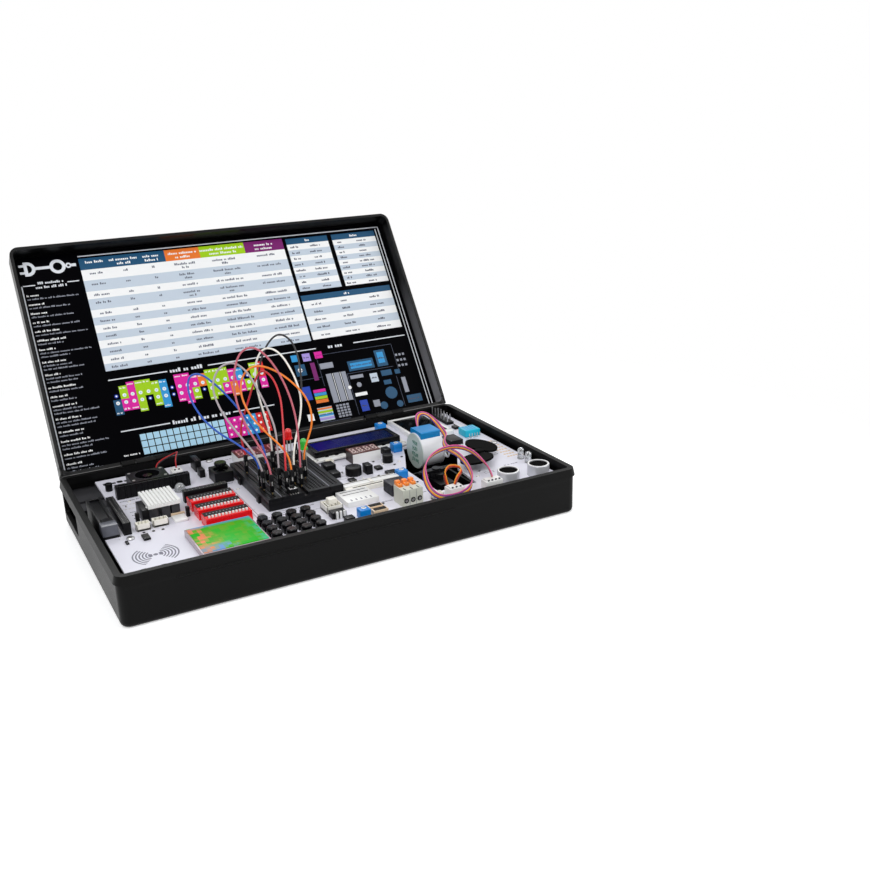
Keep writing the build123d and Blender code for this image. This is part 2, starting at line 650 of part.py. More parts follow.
def make_chips():
    """Buzzer, integrated circuits and the small dark blocks between the modules."""
    buzzer = post(182, 83, 0, 6.2, 6) - post(182, 83, 5.4, 7, 1.2)
    corners = [(21, 25.5, 49, 57.3, 1.6), (10, 12, 49, 54, 1), (189.5, 194.5, 76, 84, 7), (199.5, 204.5, 80, 86, 2),
               (165, 173, 94, 104, 6), (165, 171.5, 82, 91, 4), (218, 223.5, 104.5, 112, 5),
               (271.5, 282.5, 96, 111, 4), (136, 146, 15, 22, 2.5), (141, 147, 3, 9, 4), (294, 298.5, 129, 135, 2),
               (173, 178, 68, 74, 1.6), (222, 230, 68, 74, 2)]
    solids = [block(x0, x1, y0, y1, 0, h) for x0, x1, y0, y1, h in corners]
    solids.append(post(214.5, 92.5, 0, 6, 4))
    return group(buzzer, *solids)


def make_humidity_sensor():
    """Cyan slotted sensor housing."""
    x0, x1, y0, y1, h = 292.0, 306.0, 107.0, 120.0, 8.0
    body = soft_block(x0, x1, y0, y1, 0, h, 0.8)
    for i in range(4):
        x = x0 + 2.6 + i * 2.8
        body -= block(x, x + 1.2, y0 + 2.5, y1 - 2.5, h - 0.9, h + 1)
    return body


def make_sensor_domes():
    """Motion sensor dome and the two clear domes at the right edge."""
    solids = []
    for x, y, r, h in ((64.0, 121.0, 3.6, 6.0), (301.5, 43.0, 2.4, 6.6), (301.5, 33.0, 2.4, 6.6)):
        base = post(x, y, 0, h - r, r)
        solids.append(base + (on_board(x, y, h - r) * Sphere(r) & block(x - r, x + r, y - r, y + r, h - r, h)))
    return group(*solids)


ultrasonic_spots = [(269.9, 11.0), (295.1, 10.5)]
ultrasonic_r, ultrasonic_h = 8.0, 8.6


def make_ultrasonic_sensor():
    """Two transducer cans with a raised rim and a recessed mesh."""
    cans = []
    for x, y in ultrasonic_spots:
        can = post(x, y, 0, ultrasonic_h, ultrasonic_r)
        can = chamfer(can.faces().sort_by(Axis.Z)[-1].edges(), 0.4)
        cans.append(can - post(x, y, ultrasonic_h - 0.8, ultrasonic_h + 1, ultrasonic_r - 1.4))
    return group(*cans)


# ---------------------------------------------------------------- motors
def make_stepper_can():
    """Geared stepper motor: can, label disc, mounting ears and shaft boss."""
    x1 = stepper_x + stepper_l
    can = lying(stepper_x + 0.6, x1, stepper_y, stepper_z, stepper_r)
    can += lying(stepper_x, stepper_x + 0.6, stepper_y, stepper_z, stepper_r - 0.4)
    ear_w = 2 * (stepper_ear_reach - stepper_ear_r)
    ears = on_board(x1 - stepper_ear_t / 2, stepper_y, stepper_z) * Box(stepper_ear_t, ear_w, 2 * stepper_ear_r)
    for side in (-1, 1):
        y = stepper_y + side * stepper_hole_gap
        ears += lying(x1 - stepper_ear_t, x1, y, stepper_z, stepper_ear_r)
    for side in (-1, 1):
        y = stepper_y + side * stepper_hole_gap
        ears -= lying(x1 - 2, x1 + 1, y, stepper_z, stepper_hole_r)
    drop = stepper_z - stepper_shaft_drop
    boss = lying(x1 - 0.5, x1 + stepper_boss_l, stepper_y, drop, stepper_boss_r)
    bore = lying(x1 - 6, x1 + stepper_boss_l + 1, stepper_y, drop, stepper_shaft_r + pin_play)
    return can + ears + boss - bore


def make_stepper_shaft():
    """Output shaft with two flats at its end."""
    x1 = stepper_x + stepper_l
    drop = stepper_z - stepper_shaft_drop
    end = x1 + stepper_shaft_l
    shaft = lying(x1 - 5.5, end, stepper_y, drop, stepper_shaft_r)
    for side in (-1, 1):
        flat_y = stepper_y + side * 2.0
        shaft -= on_board(end - 3, flat_y + side * 0.75, drop) * Box(6.2, 1.5, 6)
    return shaft


def make_stepper_cap():
    """Blue cover over the stepper's wire outlet."""
    x0 = stepper_x + 1.2
    cap = block(x0, x0 + stepper_l - 2.4, stepper_y - stepper_cap_w / 2, stepper_y + stepper_cap_w / 2,
                stepper_z + stepper_cap_foot, stepper_z + stepper_cap_top)
    cap = fillet(cap.edges().filter_by(Axis.X).sort_by(Axis.Z)[-2:], 1.0)
    return cap - lying(x0 - 1, x0 + stepper_l, stepper_y, stepper_z, stepper_r + pin_play)


servo_z = floor_z + servo_foot
servo_top = servo_z + servo_h
servo_shaft_y = servo_y + servo_shaft_back


def make_servo_body():
    """Micro servo on its pad: case, mounting ears and gear turret."""
    half_w, half_l = servo_w / 2, servo_l / 2
    body = block(servo_x - half_w, servo_x + half_w, servo_y - half_l, servo_y + half_l, servo_z, servo_top)
    body = fillet(body.edges().filter_by(Axis.Z), 0.5)
    reach = half_l + servo_ear_l
    ears = block(servo_x - half_w, servo_x + half_w, servo_y - reach, servo_y + reach,
                 servo_z + servo_ear_z, servo_z + servo_ear_z + servo_ear_t)
    for side in (-1, 1):
        ears -= post(servo_x, servo_y + side * (reach - 2.3), servo_z, servo_top, 1.0)
    turret = post(servo_x, servo_shaft_y, servo_top, servo_top + servo_turret_h, servo_turret_r)
    turret += post(servo_x, servo_shaft_y - servo_turret_r, servo_top, servo_top + servo_turret_h, 2.8)
    bore = post(servo_x, servo_shaft_y, servo_top, servo_top + servo_turret_h + 1, servo_spline_r + pin_play)
    return body + ears + turret - bore


def make_servo_horn():
    """Double-armed horn pressed on the output spline, turned across the case."""
    z0 = servo_top + servo_turret_h + 0.3
    spline = post(servo_x, servo_shaft_y, servo_top + 0.4, z0 + 0.5, servo_spline_r)
    hub = post(servo_x, servo_shaft_y, z0, z0 + 2.4, 3.2)
    arm_mid = horn_reach - 2.0
    arm = Polyline((-arm_mid, -1.9), (0, -2.9), (arm_mid, -1.9), (arm_mid, 1.9), (0, 2.9), (-arm_mid, 1.9), close=True)
    blade = on_board(servo_x, servo_shaft_y, z0) * extrude(make_face(arm), horn_t)
    for side in (-1, 1):
        blade += post(servo_x + side * arm_mid, servo_shaft_y, z0, z0 + horn_t, 1.9)
    horn = spline + hub + blade
    for reach in (6.0, 9.0, 12.0):
        for side in (-1, 1):
            horn -= post(servo_x + side * reach, servo_shaft_y, z0 - 1, z0 + horn_t + 1, 0.6)
    return horn


def make_fan_motor():
    """Flat round motor under the propeller, with its axle."""
    can = post(fan_x, fan_y, 0, fan_motor_h, fan_motor_r)
    can = chamfer(can.faces().sort_by(Axis.Z)[-1].edges(), 0.7)
    return can + post(fan_x, fan_y, fan_motor_h - 0.5, fan_motor_h + 3.2, fan_axle_r)


def make_propeller():
    """Four rounded petals, each twisted about its own arm, on a domed hub."""
    z0 = fan_motor_h + propeller_lift
    hub = post(fan_x, fan_y, z0, z0 + 3.6, 3.6)
    hub = chamfer(hub.faces().sort_by(Axis.Z)[-1].edges(), 0.9)
    wheel = hub
    petal_mid = propeller_r - petal_w / 2
    outline = Pos(petal_mid, 0) * Ellipse(petal_w / 2, petal_w / 2 - 0.6)
    outline += Pos(petal_mid / 2, 0) * Rectangle(petal_mid, 5.0)
    petal = extrude(outline, petal_t)
    for i in range(4):
        turn = Rot(0, 0, 43 + 90 * i) * Rot(10, 0, 0)
        wheel += on_board(fan_x, fan_y, z0 + 1.2) * turn * petal
    return wheel - post(fan_x, fan_y, z0 - 1, z0 + 2.9, fan_axle_r + pin_play)


# ---------------------------------------------------------------- wires
# Routes are in board coordinates.  A jumper wire runs from the top of one plug to the top of another.
plug_foot = 8.5           # breadboard top
plug_top = 22.2            # the wires start just above
plug_w = 2.5
jumper_d = 1.4
jumper_routes = {
    "blue": [(108.5, 75, 22.5), (108, 75.5, 28), (103.5, 81, 34), (97.5, 89, 39.5), (88.5, 97, 46),
             (80.5, 107, 56), (76, 116, 70), (78.5, 122, 82), (86.5, 118, 84), (94.5, 110, 76),
             (102.5, 103, 65), (109.5, 96, 52), (115, 89, 40), (117, 84, 29.5), (116.5, 83, 22.5)],
    "grey": [(108.5, 69, 22.5), (107.5, 71, 30), (103.5, 78, 39), (97.5, 86, 49), (91.5, 96, 62),
             (89, 103, 77), (95.5, 106, 89), (105.5, 102, 93), (113, 95.5, 86), (117.5, 89, 73),
             (121.5, 82, 59), (123.5, 77, 46), (121.5, 71.5, 32), (120.5, 69, 22.5)],
    "pink": [(111.5, 60, 22.5), (111, 62, 31), (107.5, 70, 42), (103, 79, 54), (100.5, 88, 69),
             (102.5, 95, 85), (109.5, 99, 100), (119.5, 94, 103.5), (128.5, 86, 92), (134.5, 78, 74),
             (136.5, 71, 56), (135, 65, 38), (134, 62.5, 29), (133.5, 62, 22.5)],
    "orange": [(126.5, 61, 22.5), (127, 63, 29), (124.5, 69, 36.5), (117.5, 78, 45), (110, 88, 56),
               (107, 97, 69), (110.5, 103, 81), (119, 102, 88), (129.5, 97, 86), (140.5, 89, 77.5),
               (150, 81, 64), (151, 77, 48), (145, 76, 34.5), (142, 75.2, 28), (141.5, 75, 22.5)],
    "white": [(131.5, 69, 22.5), (132.5, 71, 30), (137, 75.5, 40), (143.5, 81.5, 51), (148, 88, 64),
              (146.5, 98, 80), (141, 109, 94), (131.5, 115, 96.5), (125, 117, 83), (124.5, 113.5, 65),
              (127, 109, 48), (129, 105.5, 33), (128.5, 104, 22.5)],
    "red": [(122.5, 61, 22.5), (123.5, 63, 30), (126.5, 71, 40), (130, 80, 53), (133, 89, 66),
            (131.5, 98, 79), (125.5, 104.5, 84), (119.5, 106, 73), (114.5, 107.5, 59), (109, 109.5, 44),
            (108, 108.5, 32), (109.5, 107, 22.5)],
    "black": [(148.5, 110, 22.5), (150, 110.2, 31), (155.5, 112, 43), (159.5, 117, 60), (162, 124, 79),
              (160.5, 132.5, 94), (151.5, 137.5, 100), (141.5, 139, 90), (134.5, 137, 74), (131, 132.5, 56),
              (131, 124, 41), (133, 118, 30.5), (133.5, 116, 22.5)],
}
lead_routes = {
    "stepper": (2.0, [(248.5, 106.2, 14.6), (249.5, 111, 20.6), (253.5, 114.5, 25.5), (260, 113.5, 24.5),
                      (265, 108.5, 18.5), (266, 98.5, 13), (262.5, 88, 13), (256, 79, 14.5), (250, 69, 15),
                      (246.5, 57, 15), (246.5, 44, 15.5), (245, 31.5, 15), (243, 20.5, 13), (240, 10.5, 10),
                      (235.5, 4, 6), (228, 2.2, 2.8), (218.5, 2.2, 2.4), (210, 2.8, 3.5), (205.5, 7.5, 7.5),
                      (205, 14, 13), (207.5, 21, 19.5), (214.5, 26.5, 24), (223.5, 30, 26.2),
                      (233.5, 30, 27.3), (242, 27.5, 26.2), (248.5, 23, 22.5), (252, 16, 17.5),
                      (253, 8.5, 13.5), (253, 5.5, 8.55)]),
    "servo": (1.8, [(231.5, 30.4, -17.5), (231.5, 25.4, -17.3), (230.7, 23.2, -12), (229.3, 23, -4),
                    (226.3, 23.2, 3.5), (225.8, 25, 10), (230, 27.8, 13.8), (234.5, 25, 14.5), (236, 19, 14.5),
                    (233, 13.5, 14), (228, 10.8, 12.2), (225.5, 10, 7.45)]),
    "cooler": (1.6, [(70.5, 153, 5.8), (70.8, 154.5, 10.5), (73.5, 159, 14.3), (75.8, 165, 13.5),
                     (73, 170.5, 10.2), (66.5, 171, 8), (60.5, 167.5, 6.5), (57.5, 160.5, 5.5), (56.5, 153.5, 5)]),
}
led_spots = {"red": (140.2, 100.0, 30.5), "green": (147.5, 90.0, 24.5)}     # foot of each lamp
led_r, led_h, led_leg_gap, led_leg_r = 2.5, 8.0, 2.54, 0.3


def tube(name, diameter, route):
    """Round wire along straight runs and arcs as wide as the runs allow."""
    points = [on_board(*p).position for p in route]
    radii = []
    for before, here, after in zip(points, points[1:], points[2:]):
        turn = radians((here - before).get_angle(after - here))
        shorter = min((here - before).length, (after - here).length)
        radii.append(0.45 * shorter / tan(turn / 2))
    path = FilletPolyline(*points, radius=radii)
    wire = sweep(Plane(path @ 0, z_dir=path % 0) * Circle(diameter / 2), path=path)
    ideal = pi * diameter ** 2 / 4 * path.length
    print(f"{name}: radii {min(radii):.1f} to {max(radii):.1f}, length {path.length:.0f}, "
          f"volume {wire.volume / ideal:.3f} of section x length")
    return wire


def make_jumper_wires():
    """The jumper wires of the circuit set up on the breadboard."""
    return group(*[tube(name, jumper_d, route) for name, route in jumper_routes.items()])


def make_motor_cables():
    """Leads of the stepper motor, the servo and the cooler."""
    return group(*[tube(name, diameter, route) for name, (diameter, route) in lead_routes.items()])


def make_breadboard_parts():
    """Plugs, two lamps on their legs and a push switch, all standing on the breadboard."""
    solids = []
    half = plug_w / 2
    for route in jumper_routes.values():
        for x, y, _ in (route[0], route[-1]):
            solids.append(block(x - half, x + half, y - half, y + half, plug_foot, plug_top))
    for x, y, z in led_spots.values():
        lamp = post(x, y, z, z + led_h - led_r, led_r) + post(x, y, z, z + 1, led_r + 0.4)
        lamp += on_board(x, y, z + led_h - led_r) * Sphere(led_r)
        for side in (-1, 1):
            lamp += post(x + side * led_leg_gap / 2, y, plug_foot, z + 0.5, led_leg_r)
        solids.append(lamp)
    switch = block(121, 127, 52, 58, plug_foot, plug_foot + 3.4)
    solids.append(switch + post(124, 55, plug_foot + 3, plug_foot + 5, 1.7))
    return group(*solids)


# ---------------------------------------------------------------- write
def build():
    """Make every node."""
    nodes["case_base"] = make_case_base()
    nodes["case_lid"] = make_case_lid()
    nodes["lid_panel"] = make_lid_panel()
    nodes["hinge_pins"] = make_hinge_pins()
    nodes["main_board"] = make_main_board()
    nodes["board_screws"] = make_board_screws()
    nodes["computer_board"] = make_computer_board()
    nodes["board_headers"] = make_board_headers()
    nodes["card_slot"] = make_card_slot()
    nodes["cooler_housing"] = make_cooler_housing()
    nodes["cooler_fan"] = make_cooler_fan()
    nodes["heatsink_block"] = make_heatsink_block()
    nodes["cream_sockets"] = make_cream_sockets()
    nodes["dip_bodies"] = make_dip_bodies()
    for bank in range(3):
        nodes[f"dip_levers_{bank + 1}"] = make_dip_levers(bank)
    nodes["led_matrix"] = make_led_matrix()
    nodes["key_switches"] = make_key_switches()
    for i in range(16):
        nodes[f"key_cap_{i + 1:02d}"] = make_key_cap(i)
    nodes["breadboard"] = make_breadboard()
    nodes["joystick_base"] = make_joystick_base()
    nodes["joystick_gimbal"] = make_joystick_gimbal()
    nodes["joystick_stick"] = make_joystick_stick()
    nodes["lcd_module"] = make_lcd_module()
    nodes["tft_display"] = make_tft_display()
    nodes["segment_displays"] = make_segment_displays()
    nodes["relay"] = make_relay()
    nodes["terminal_block"] = make_terminal_block()
    nodes["terminal_levers"] = make_terminal_levers()
    nodes["trimmers"] = make_trimmers()
    nodes["chips"] = make_chips()
    nodes["humidity_sensor"] = make_humidity_sensor()
    nodes["sensor_domes"] = make_sensor_domes()
    nodes["ultrasonic_sensor"] = make_ultrasonic_sensor()
    nodes["stepper_can"] = make_stepper_can()
    nodes["stepper_shaft"] = make_stepper_shaft()
    nodes["stepper_cap"] = make_stepper_cap()
    nodes["servo_body"] = make_servo_body()
    nodes["servo_horn"] = make_servo_horn()
    nodes["fan_motor"] = make_fan_motor()
    nodes["propeller"] = make_propeller()
    nodes["breadboard_parts"] = make_breadboard_parts()
    nodes["jumper_wires"] = make_jumper_wires()
    nodes["motor_cables"] = make_motor_cables()


build()
for name, shape in nodes.items():
    export_step(shape, f"parts/{name}.step")
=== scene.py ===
import math
import random

import bmesh
import bpy
from mathutils import Matrix, Vector


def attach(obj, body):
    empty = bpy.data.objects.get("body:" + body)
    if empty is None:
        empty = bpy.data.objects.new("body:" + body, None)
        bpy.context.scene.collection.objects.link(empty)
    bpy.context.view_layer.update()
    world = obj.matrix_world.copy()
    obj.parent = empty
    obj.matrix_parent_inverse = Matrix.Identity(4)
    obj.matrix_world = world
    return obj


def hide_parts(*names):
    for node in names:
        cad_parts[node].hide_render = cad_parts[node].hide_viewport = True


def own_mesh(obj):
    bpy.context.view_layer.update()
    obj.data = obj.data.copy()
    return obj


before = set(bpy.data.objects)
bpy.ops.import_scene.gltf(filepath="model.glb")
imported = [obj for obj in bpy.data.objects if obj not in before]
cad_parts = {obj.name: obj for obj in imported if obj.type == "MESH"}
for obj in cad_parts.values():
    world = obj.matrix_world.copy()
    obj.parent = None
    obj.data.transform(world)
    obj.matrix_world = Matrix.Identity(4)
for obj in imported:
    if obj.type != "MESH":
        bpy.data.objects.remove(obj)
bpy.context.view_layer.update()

# ---------------------------------------------------------------- places
# Pieces are made in millimetres of a working frame and then put in place.  BOARD has its origin at the
# board's front left corner, on its top.  LID has x from the case's left side, y up the panel from the
# hinge and z out of the printed side.
MM = 0.001
BOARD_W, BOARD_D, BOARD_TOP, BOARD_THICK = 308.0, 172.0, 28.0, 1.6
BREADBOARD_TOP = 8.5
CASE_W = 327.0
HINGE_Y, HINGE_Z, LID_OPEN = 93.2, 34.2, 124.0
PANEL_DEPTH, LID_SIDE = 13.7, 3.0
TO_METRES = Matrix.Scale(MM, 4)
BOARD = TO_METRES @ Matrix.Translation((-BOARD_W / 2, -BOARD_D / 2, BOARD_TOP))
HINGE = Matrix.Translation((0, HINGE_Y, HINGE_Z))
LID = (TO_METRES @ HINGE @ Matrix.Rotation(-math.radians(LID_OPEN), 4, "X")
       @ Matrix.Translation((-CASE_W / 2, 0, PANEL_DEPTH)) @ Matrix.Diagonal((1, -1, -1, 1)))
FULL_TURN = 2 * math.pi
SMOOTH_BELOW = math.radians(38)


def rgb(r, g, b):
    """Colour from screen values, as the shaders take it."""
    return tuple((c / 255) ** 2.2 for c in (r, g, b)) + (1.0,)


# ---------------------------------------------------------------- node trees
class Wiring:
    """Short hand for nodes and their links in one tree."""

    def __init__(self, tree):
        self.tree = tree

    def put(self, value, socket):
        if isinstance(value, bpy.types.NodeSocket):
            self.tree.links.new(value, socket)
        else:
            socket.default_value = value

    def node(self, kind, values=(), **settings):
        made = self.tree.nodes.new(kind)
        for key, value in settings.items():
            setattr(made, key, value)
        for key, value in dict(values).items():
            self.put(value, made.inputs[key])
        return made.outputs

    def end(self, kind, shader):
        """Output node of a material or world, fed by its last shader."""
        self.put(shader, self.tree.nodes.new(kind).inputs["Surface"])

    def place(self):
        return self.node("ShaderNodeTexCoord")["Object"]

    def axes(self, vector):
        return self.node("ShaderNodeSeparateXYZ", {0: vector})

    def dot(self, vector, direction):
        return self.node("ShaderNodeVectorMath", {0: vector, 1: direction}, operation="DOT_PRODUCT")["Value"]

    def calc(self, operation, a, b=0.0, clamp=False):
        return self.node("ShaderNodeMath", {0: a, 1: b}, operation=operation, use_clamp=clamp)[0]

    def times(self, a, b):
        return self.calc("MULTIPLY", a, b)

    def ramp(self, value, start, width):
        """0 up to start and 1 from start + width on; a negative width rises the other way."""
        return self.calc("DIVIDE", self.calc("SUBTRACT", value, start), width, clamp=True)

    def between(self, value, low, high):
        return self.times(self.calc("GREATER_THAN", value, low), self.calc("LESS_THAN", value, high))

    def mix(self, share, a, b, kind="MIX"):
        return self.node("ShaderNodeMix", {0: share, 6: a, 7: b}, data_type="RGBA", blend_type=kind)[2]

    def blend(self, share, a, b):
        return self.node("ShaderNodeMixShader", {0: share, 1: a, 2: b})[0]

    def noise(self, where, scale, detail=2.0):
        return self.node("ShaderNodeTexNoise", {"Vector": where, "Scale": scale, "Detail": detail})[0]


def blank(data):
    """Wiring in the emptied node tree of a material or world."""
    data.use_nodes = True
    data.node_tree.nodes.clear()
    return Wiring(data.node_tree)


def new_group(name, inputs, outputs):
    group = bpy.data.node_groups.new(name, "ShaderNodeTree")
    for label, kind, value in inputs:
        socket = group.interface.new_socket(label, in_out="INPUT", socket_type=kind)
        socket.default_value = value
    for label, kind in outputs:
        group.interface.new_socket(label, in_out="OUTPUT", socket_type=kind)
    return group, group.nodes.new("NodeGroupInput").outputs, group.nodes.new("NodeGroupOutput").inputs


# ---------------------------------------------------------------- finishes
MID_GREY = (0.5, 0.5, 0.5, 1)
DUST_COLOR = (0.55, 0.54, 0.52, 1)
PATCH_SHARE = 0.7
RELIEF, COAT_ROUGHNESS = 0.0002, 0.06


def surface_group():
    """Tone and gloss that wander over a moulding, with a fine grain and dust on what faces up."""
    group, given, out = new_group("Moulded surface", [
        ("Color", "NodeSocketColor", MID_GREY), ("Tone", "NodeSocketFloat", 0.08),
        ("Patches", "NodeSocketFloat", 45.0), ("Grain", "NodeSocketFloat", 1500.0),
        ("Roughness", "NodeSocketFloat", 0.4), ("Wander", "NodeSocketFloat", 0.08),
        ("Dust", "NodeSocketFloat", 0.0)],
        [("Color", "NodeSocketColor"), ("Roughness", "NodeSocketFloat"), ("Height", "NodeSocketFloat")])
    w = Wiring(group)
    where = w.place()
    patches = w.noise(where, given["Patches"], 3.0)
    grain = w.noise(where, given["Grain"], 1.0)
    both = w.calc("ADD", w.times(patches, PATCH_SHARE), w.times(grain, 1 - PATCH_SHARE))
    centred = w.calc("SUBTRACT", both, 0.5)
    tone = w.calc("ADD", w.times(centred, given["Tone"]), 1.0)
    grey = w.node("ShaderNodeCombineColor", {0: tone, 1: tone, 2: tone})[0]
    shaded = w.mix(1.0, given["Color"], grey, "MULTIPLY")
    up = w.axes(w.node("ShaderNodeNewGeometry")["Normal"])["Z"]
    settled = w.calc("MULTIPLY", w.calc("MAXIMUM", up, 0.0), w.times(patches, given["Dust"]), clamp=True)
    w.put(w.mix(settled, shaded, DUST_COLOR), out["Color"])
    w.put(w.calc("ADD", given["Roughness"], w.times(centred, given["Wander"]), clamp=True), out["Roughness"])
    w.put(grain, out["Height"])
    return group


def zone_group():
    """Second colour on the part of a piece that lies past a plane."""
    group, given, out = new_group("Zone", [
        ("Color", "NodeSocketColor", MID_GREY), ("Zone color", "NodeSocketColor", MID_GREY),
        ("Facing", "NodeSocketVector", (0, 0, 1)), ("Past", "NodeSocketFloat", 0.0)],
        [("Color", "NodeSocketColor")])
    w = Wiring(group)
    mask = w.calc("GREATER_THAN", w.dot(w.place(), given["Facing"]), given["Past"])
    w.put(w.mix(mask, given["Color"], given["Zone color"]), out["Color"])
    return group


SURFACE, ZONE = surface_group(), zone_group()


def finish(name, color, roughness, metal=0.0, tone=0.1, grain=1500.0, bump=0.1, wander=0.1, patches=45.0,
           dust=0.0, coat=0.0, specular=0.5, clear=0.0, glow=0.0, zones=()):
    """Material with a moulded surface; zones are (facing, past in mm, colour) tuples laid over the colour."""
    material = bpy.data.materials.new(name)
    w = blank(material)
    for facing, past, second in zones:
        color = w.node("ShaderNodeGroup", {"Color": color, "Zone color": second, "Facing": facing,
                                           "Past": past * MM}, node_tree=ZONE)["Color"]
    moulding = {"Color": color, "Tone": tone, "Patches": patches, "Grain": grain, "Roughness": roughness,
                "Wander": wander, "Dust": dust}
    life = w.node("ShaderNodeGroup", moulding, node_tree=SURFACE)
    relief = w.node("ShaderNodeBump", {"Height": life["Height"], "Strength": bump, "Distance": RELIEF})[0]
    values = {"Base Color": life["Color"], "Roughness": life["Roughness"], "Normal": relief,
              "Metallic": metal, "Coat Weight": coat, "Coat Roughness": COAT_ROUGHNESS,
              "Specular IOR Level": specular, "Transmission Weight": clear}
    if glow:
        values.update({"Emission Color": life["Color"], "Emission Strength": glow})
    w.end("ShaderNodeOutputMaterial", w.node("ShaderNodeBsdfPrincipled", values)[0])
    return material


def colour_finish(name, color, roughness=0.35, **more):
    """Finish from screen values."""
    return finish(name, rgb(*color), roughness, **more)


def recolour(material, w, color, sockets=("Base Color",)):
    """Feed a pattern to the shader of a finish in place of its own colour."""
    shader = next(n for n in material.node_tree.nodes if n.type == "BSDF_PRINCIPLED")
    for socket in sockets:
        w.put(color, shader.inputs[socket])
    return material


CASE_COLOR = (0.0016, 0.0016, 0.0016, 1)
# painted highlight: the case above 25 mm is a slightly lighter black, and the second zone gives the case's
# own black back everywhere behind the front lip
CASE_LIP_HIGHLIGHT = [((0, 0, 1), 25.0, rgb(18, 18, 18)), ((0, 1, 0), -92.6, CASE_COLOR)]
case_black = finish("case_black", CASE_COLOR, 0.42, grain=2600, bump=0.25, specular=0.12, dust=0.003,
                    wander=0.3, patches=9, zones=CASE_LIP_HIGHLIGHT)
panel_black = finish("panel_black", (0.0006, 0.0006, 0.0012, 1), 0.36, bump=0.0, specular=0.015)
part_black = finish("part_black", (0.004, 0.004, 0.005, 1), 0.36, bump=0.2, dust=0.006, specular=0.16)
gloss_black = finish("gloss_black", (0.003, 0.003, 0.004, 1), 0.22, bump=0.05, specular=0.17)
soot_black = finish("soot_black", (0.004, 0.004, 0.004, 1), 0.6, bump=0.05, specular=0.2)
board_white = colour_finish("board_white", (230, 229, 240), 0.30, tone=0.05, grain=700, bump=0.05,
                            wander=0.05)
silk_grey = colour_finish("silk_grey", (112, 112, 126), 0.5, tone=0.2)
silk_dark = colour_finish("silk_dark", (52, 52, 60), 0.5, tone=0.2)
part_white = colour_finish("part_white", (240, 240, 238), 0.35, tone=0.05)
cream = colour_finish("cream", (243, 240, 230), 0.36, tone=0.07)
steel = finish("steel", (0.56, 0.56, 0.57, 1), 0.28, metal=1.0, tone=0.15, grain=3000, bump=0.1)
silver = finish("silver", (0.72, 0.72, 0.74, 1), 0.22, metal=1.0, tone=0.1, grain=2500, bump=0.06)
tin = finish("tin", (0.66, 0.65, 0.62, 1), 0.35, metal=1.0, tone=0.2, bump=0.15)
gold = finish("gold", (0.8, 0.58, 0.22, 1), 0.3, metal=1.0, tone=0.15, bump=0.08)
dip_red = colour_finish("dip_red", (246, 26, 34), 0.28, tone=0.12, coat=0.15, specular=0.3)
wire_grey = colour_finish("wire_grey", (120, 122, 132), 0.42)
terminal_green = colour_finish("terminal_green", (202, 204, 190), 0.42, tone=0.08)
lever_orange = colour_finish("lever_orange", (250, 142, 60), 0.4, tone=0.12)
trimmer_blue = colour_finish("trimmer_blue", (0, 128, 212), 0.36, tone=0.14)
socket_grey = colour_finish("socket_grey", (92, 94, 102), 0.3, tone=0.3, patches=160, coat=0.2)
cap_blue = colour_finish("cap_blue", (0, 136, 204), 0.36, tone=0.1)
sensor_cyan = colour_finish("sensor_cyan", (22, 184, 214), 0.36, tone=0.1)
relay_grey = colour_finish("relay_grey", (34, 32, 42), 0.45, tone=0.12, bump=0.2)
motor_white = colour_finish("motor_white", (238, 240, 243), 0.3, tone=0.05,
                            zones=[((-1, 0, 0), -86.45, rgb(212, 226, 219))])
label_green = colour_finish("label_green", (44, 128, 106), 0.45, tone=0.2)
can_silver = colour_finish("can_silver", (206, 207, 212), 0.26, tone=0.1, metal=0.25)
milky = finish("milky", (0.86, 0.88, 0.9, 1), 0.1, bump=0.02, clear=0.75, coat=0.3)
green_board = colour_finish("green_board", (18, 84, 52), 0.35, tone=0.2)
brass = finish("brass", (0.72, 0.52, 0.25, 1), 0.32, metal=1.0, tone=0.15, bump=0.1)
screw_steel = finish("screw_steel", (0.5, 0.5, 0.5, 1), 0.3, metal=1.0, tone=0.2, grain=4000, bump=0.2)
lamp_red = colour_finish("lamp_red", (232, 26, 30), 0.12, tone=0.15, clear=0.3, coat=0.5, glow=0.12)
lamp_green = colour_finish("lamp_green", (60, 200, 70), 0.12, tone=0.15, clear=0.3, coat=0.5, glow=0.12)
digit_red = colour_finish("digit_red", (92, 14, 26), 0.3, tone=0.15)
digit_brown = colour_finish("digit_brown", (84, 40, 34), 0.3, tone=0.15)
digit_side = colour_finish("digit_side", (40, 24, 24), 0.35, tone=0.15)
segment_pink = colour_finish("segment_pink", (236, 160, 164), 0.35, tone=0.1)
segment_white = colour_finish("segment_white", (232, 208, 200), 0.35, tone=0.1)
pad_tan = colour_finish("pad_tan", (222, 196, 164), 0.35, tone=0.15)
tft_glass = finish("tft_glass", (0.003, 0.004, 0.005, 1), 0.14, bump=0.0, wander=0.0, specular=0.03)
petal_black = finish("petal_black", (0.0012, 0.0012, 0.0012, 1), 0.6, bump=0.05, specular=0.02)
dull_metal = finish("dull_metal", (0.045, 0.045, 0.05, 1), 0.4, metal=0.6, tone=0.2, bump=0.1)
matrix_frame = colour_finish("matrix_frame", (176, 158, 166), 0.25, coat=0.3)


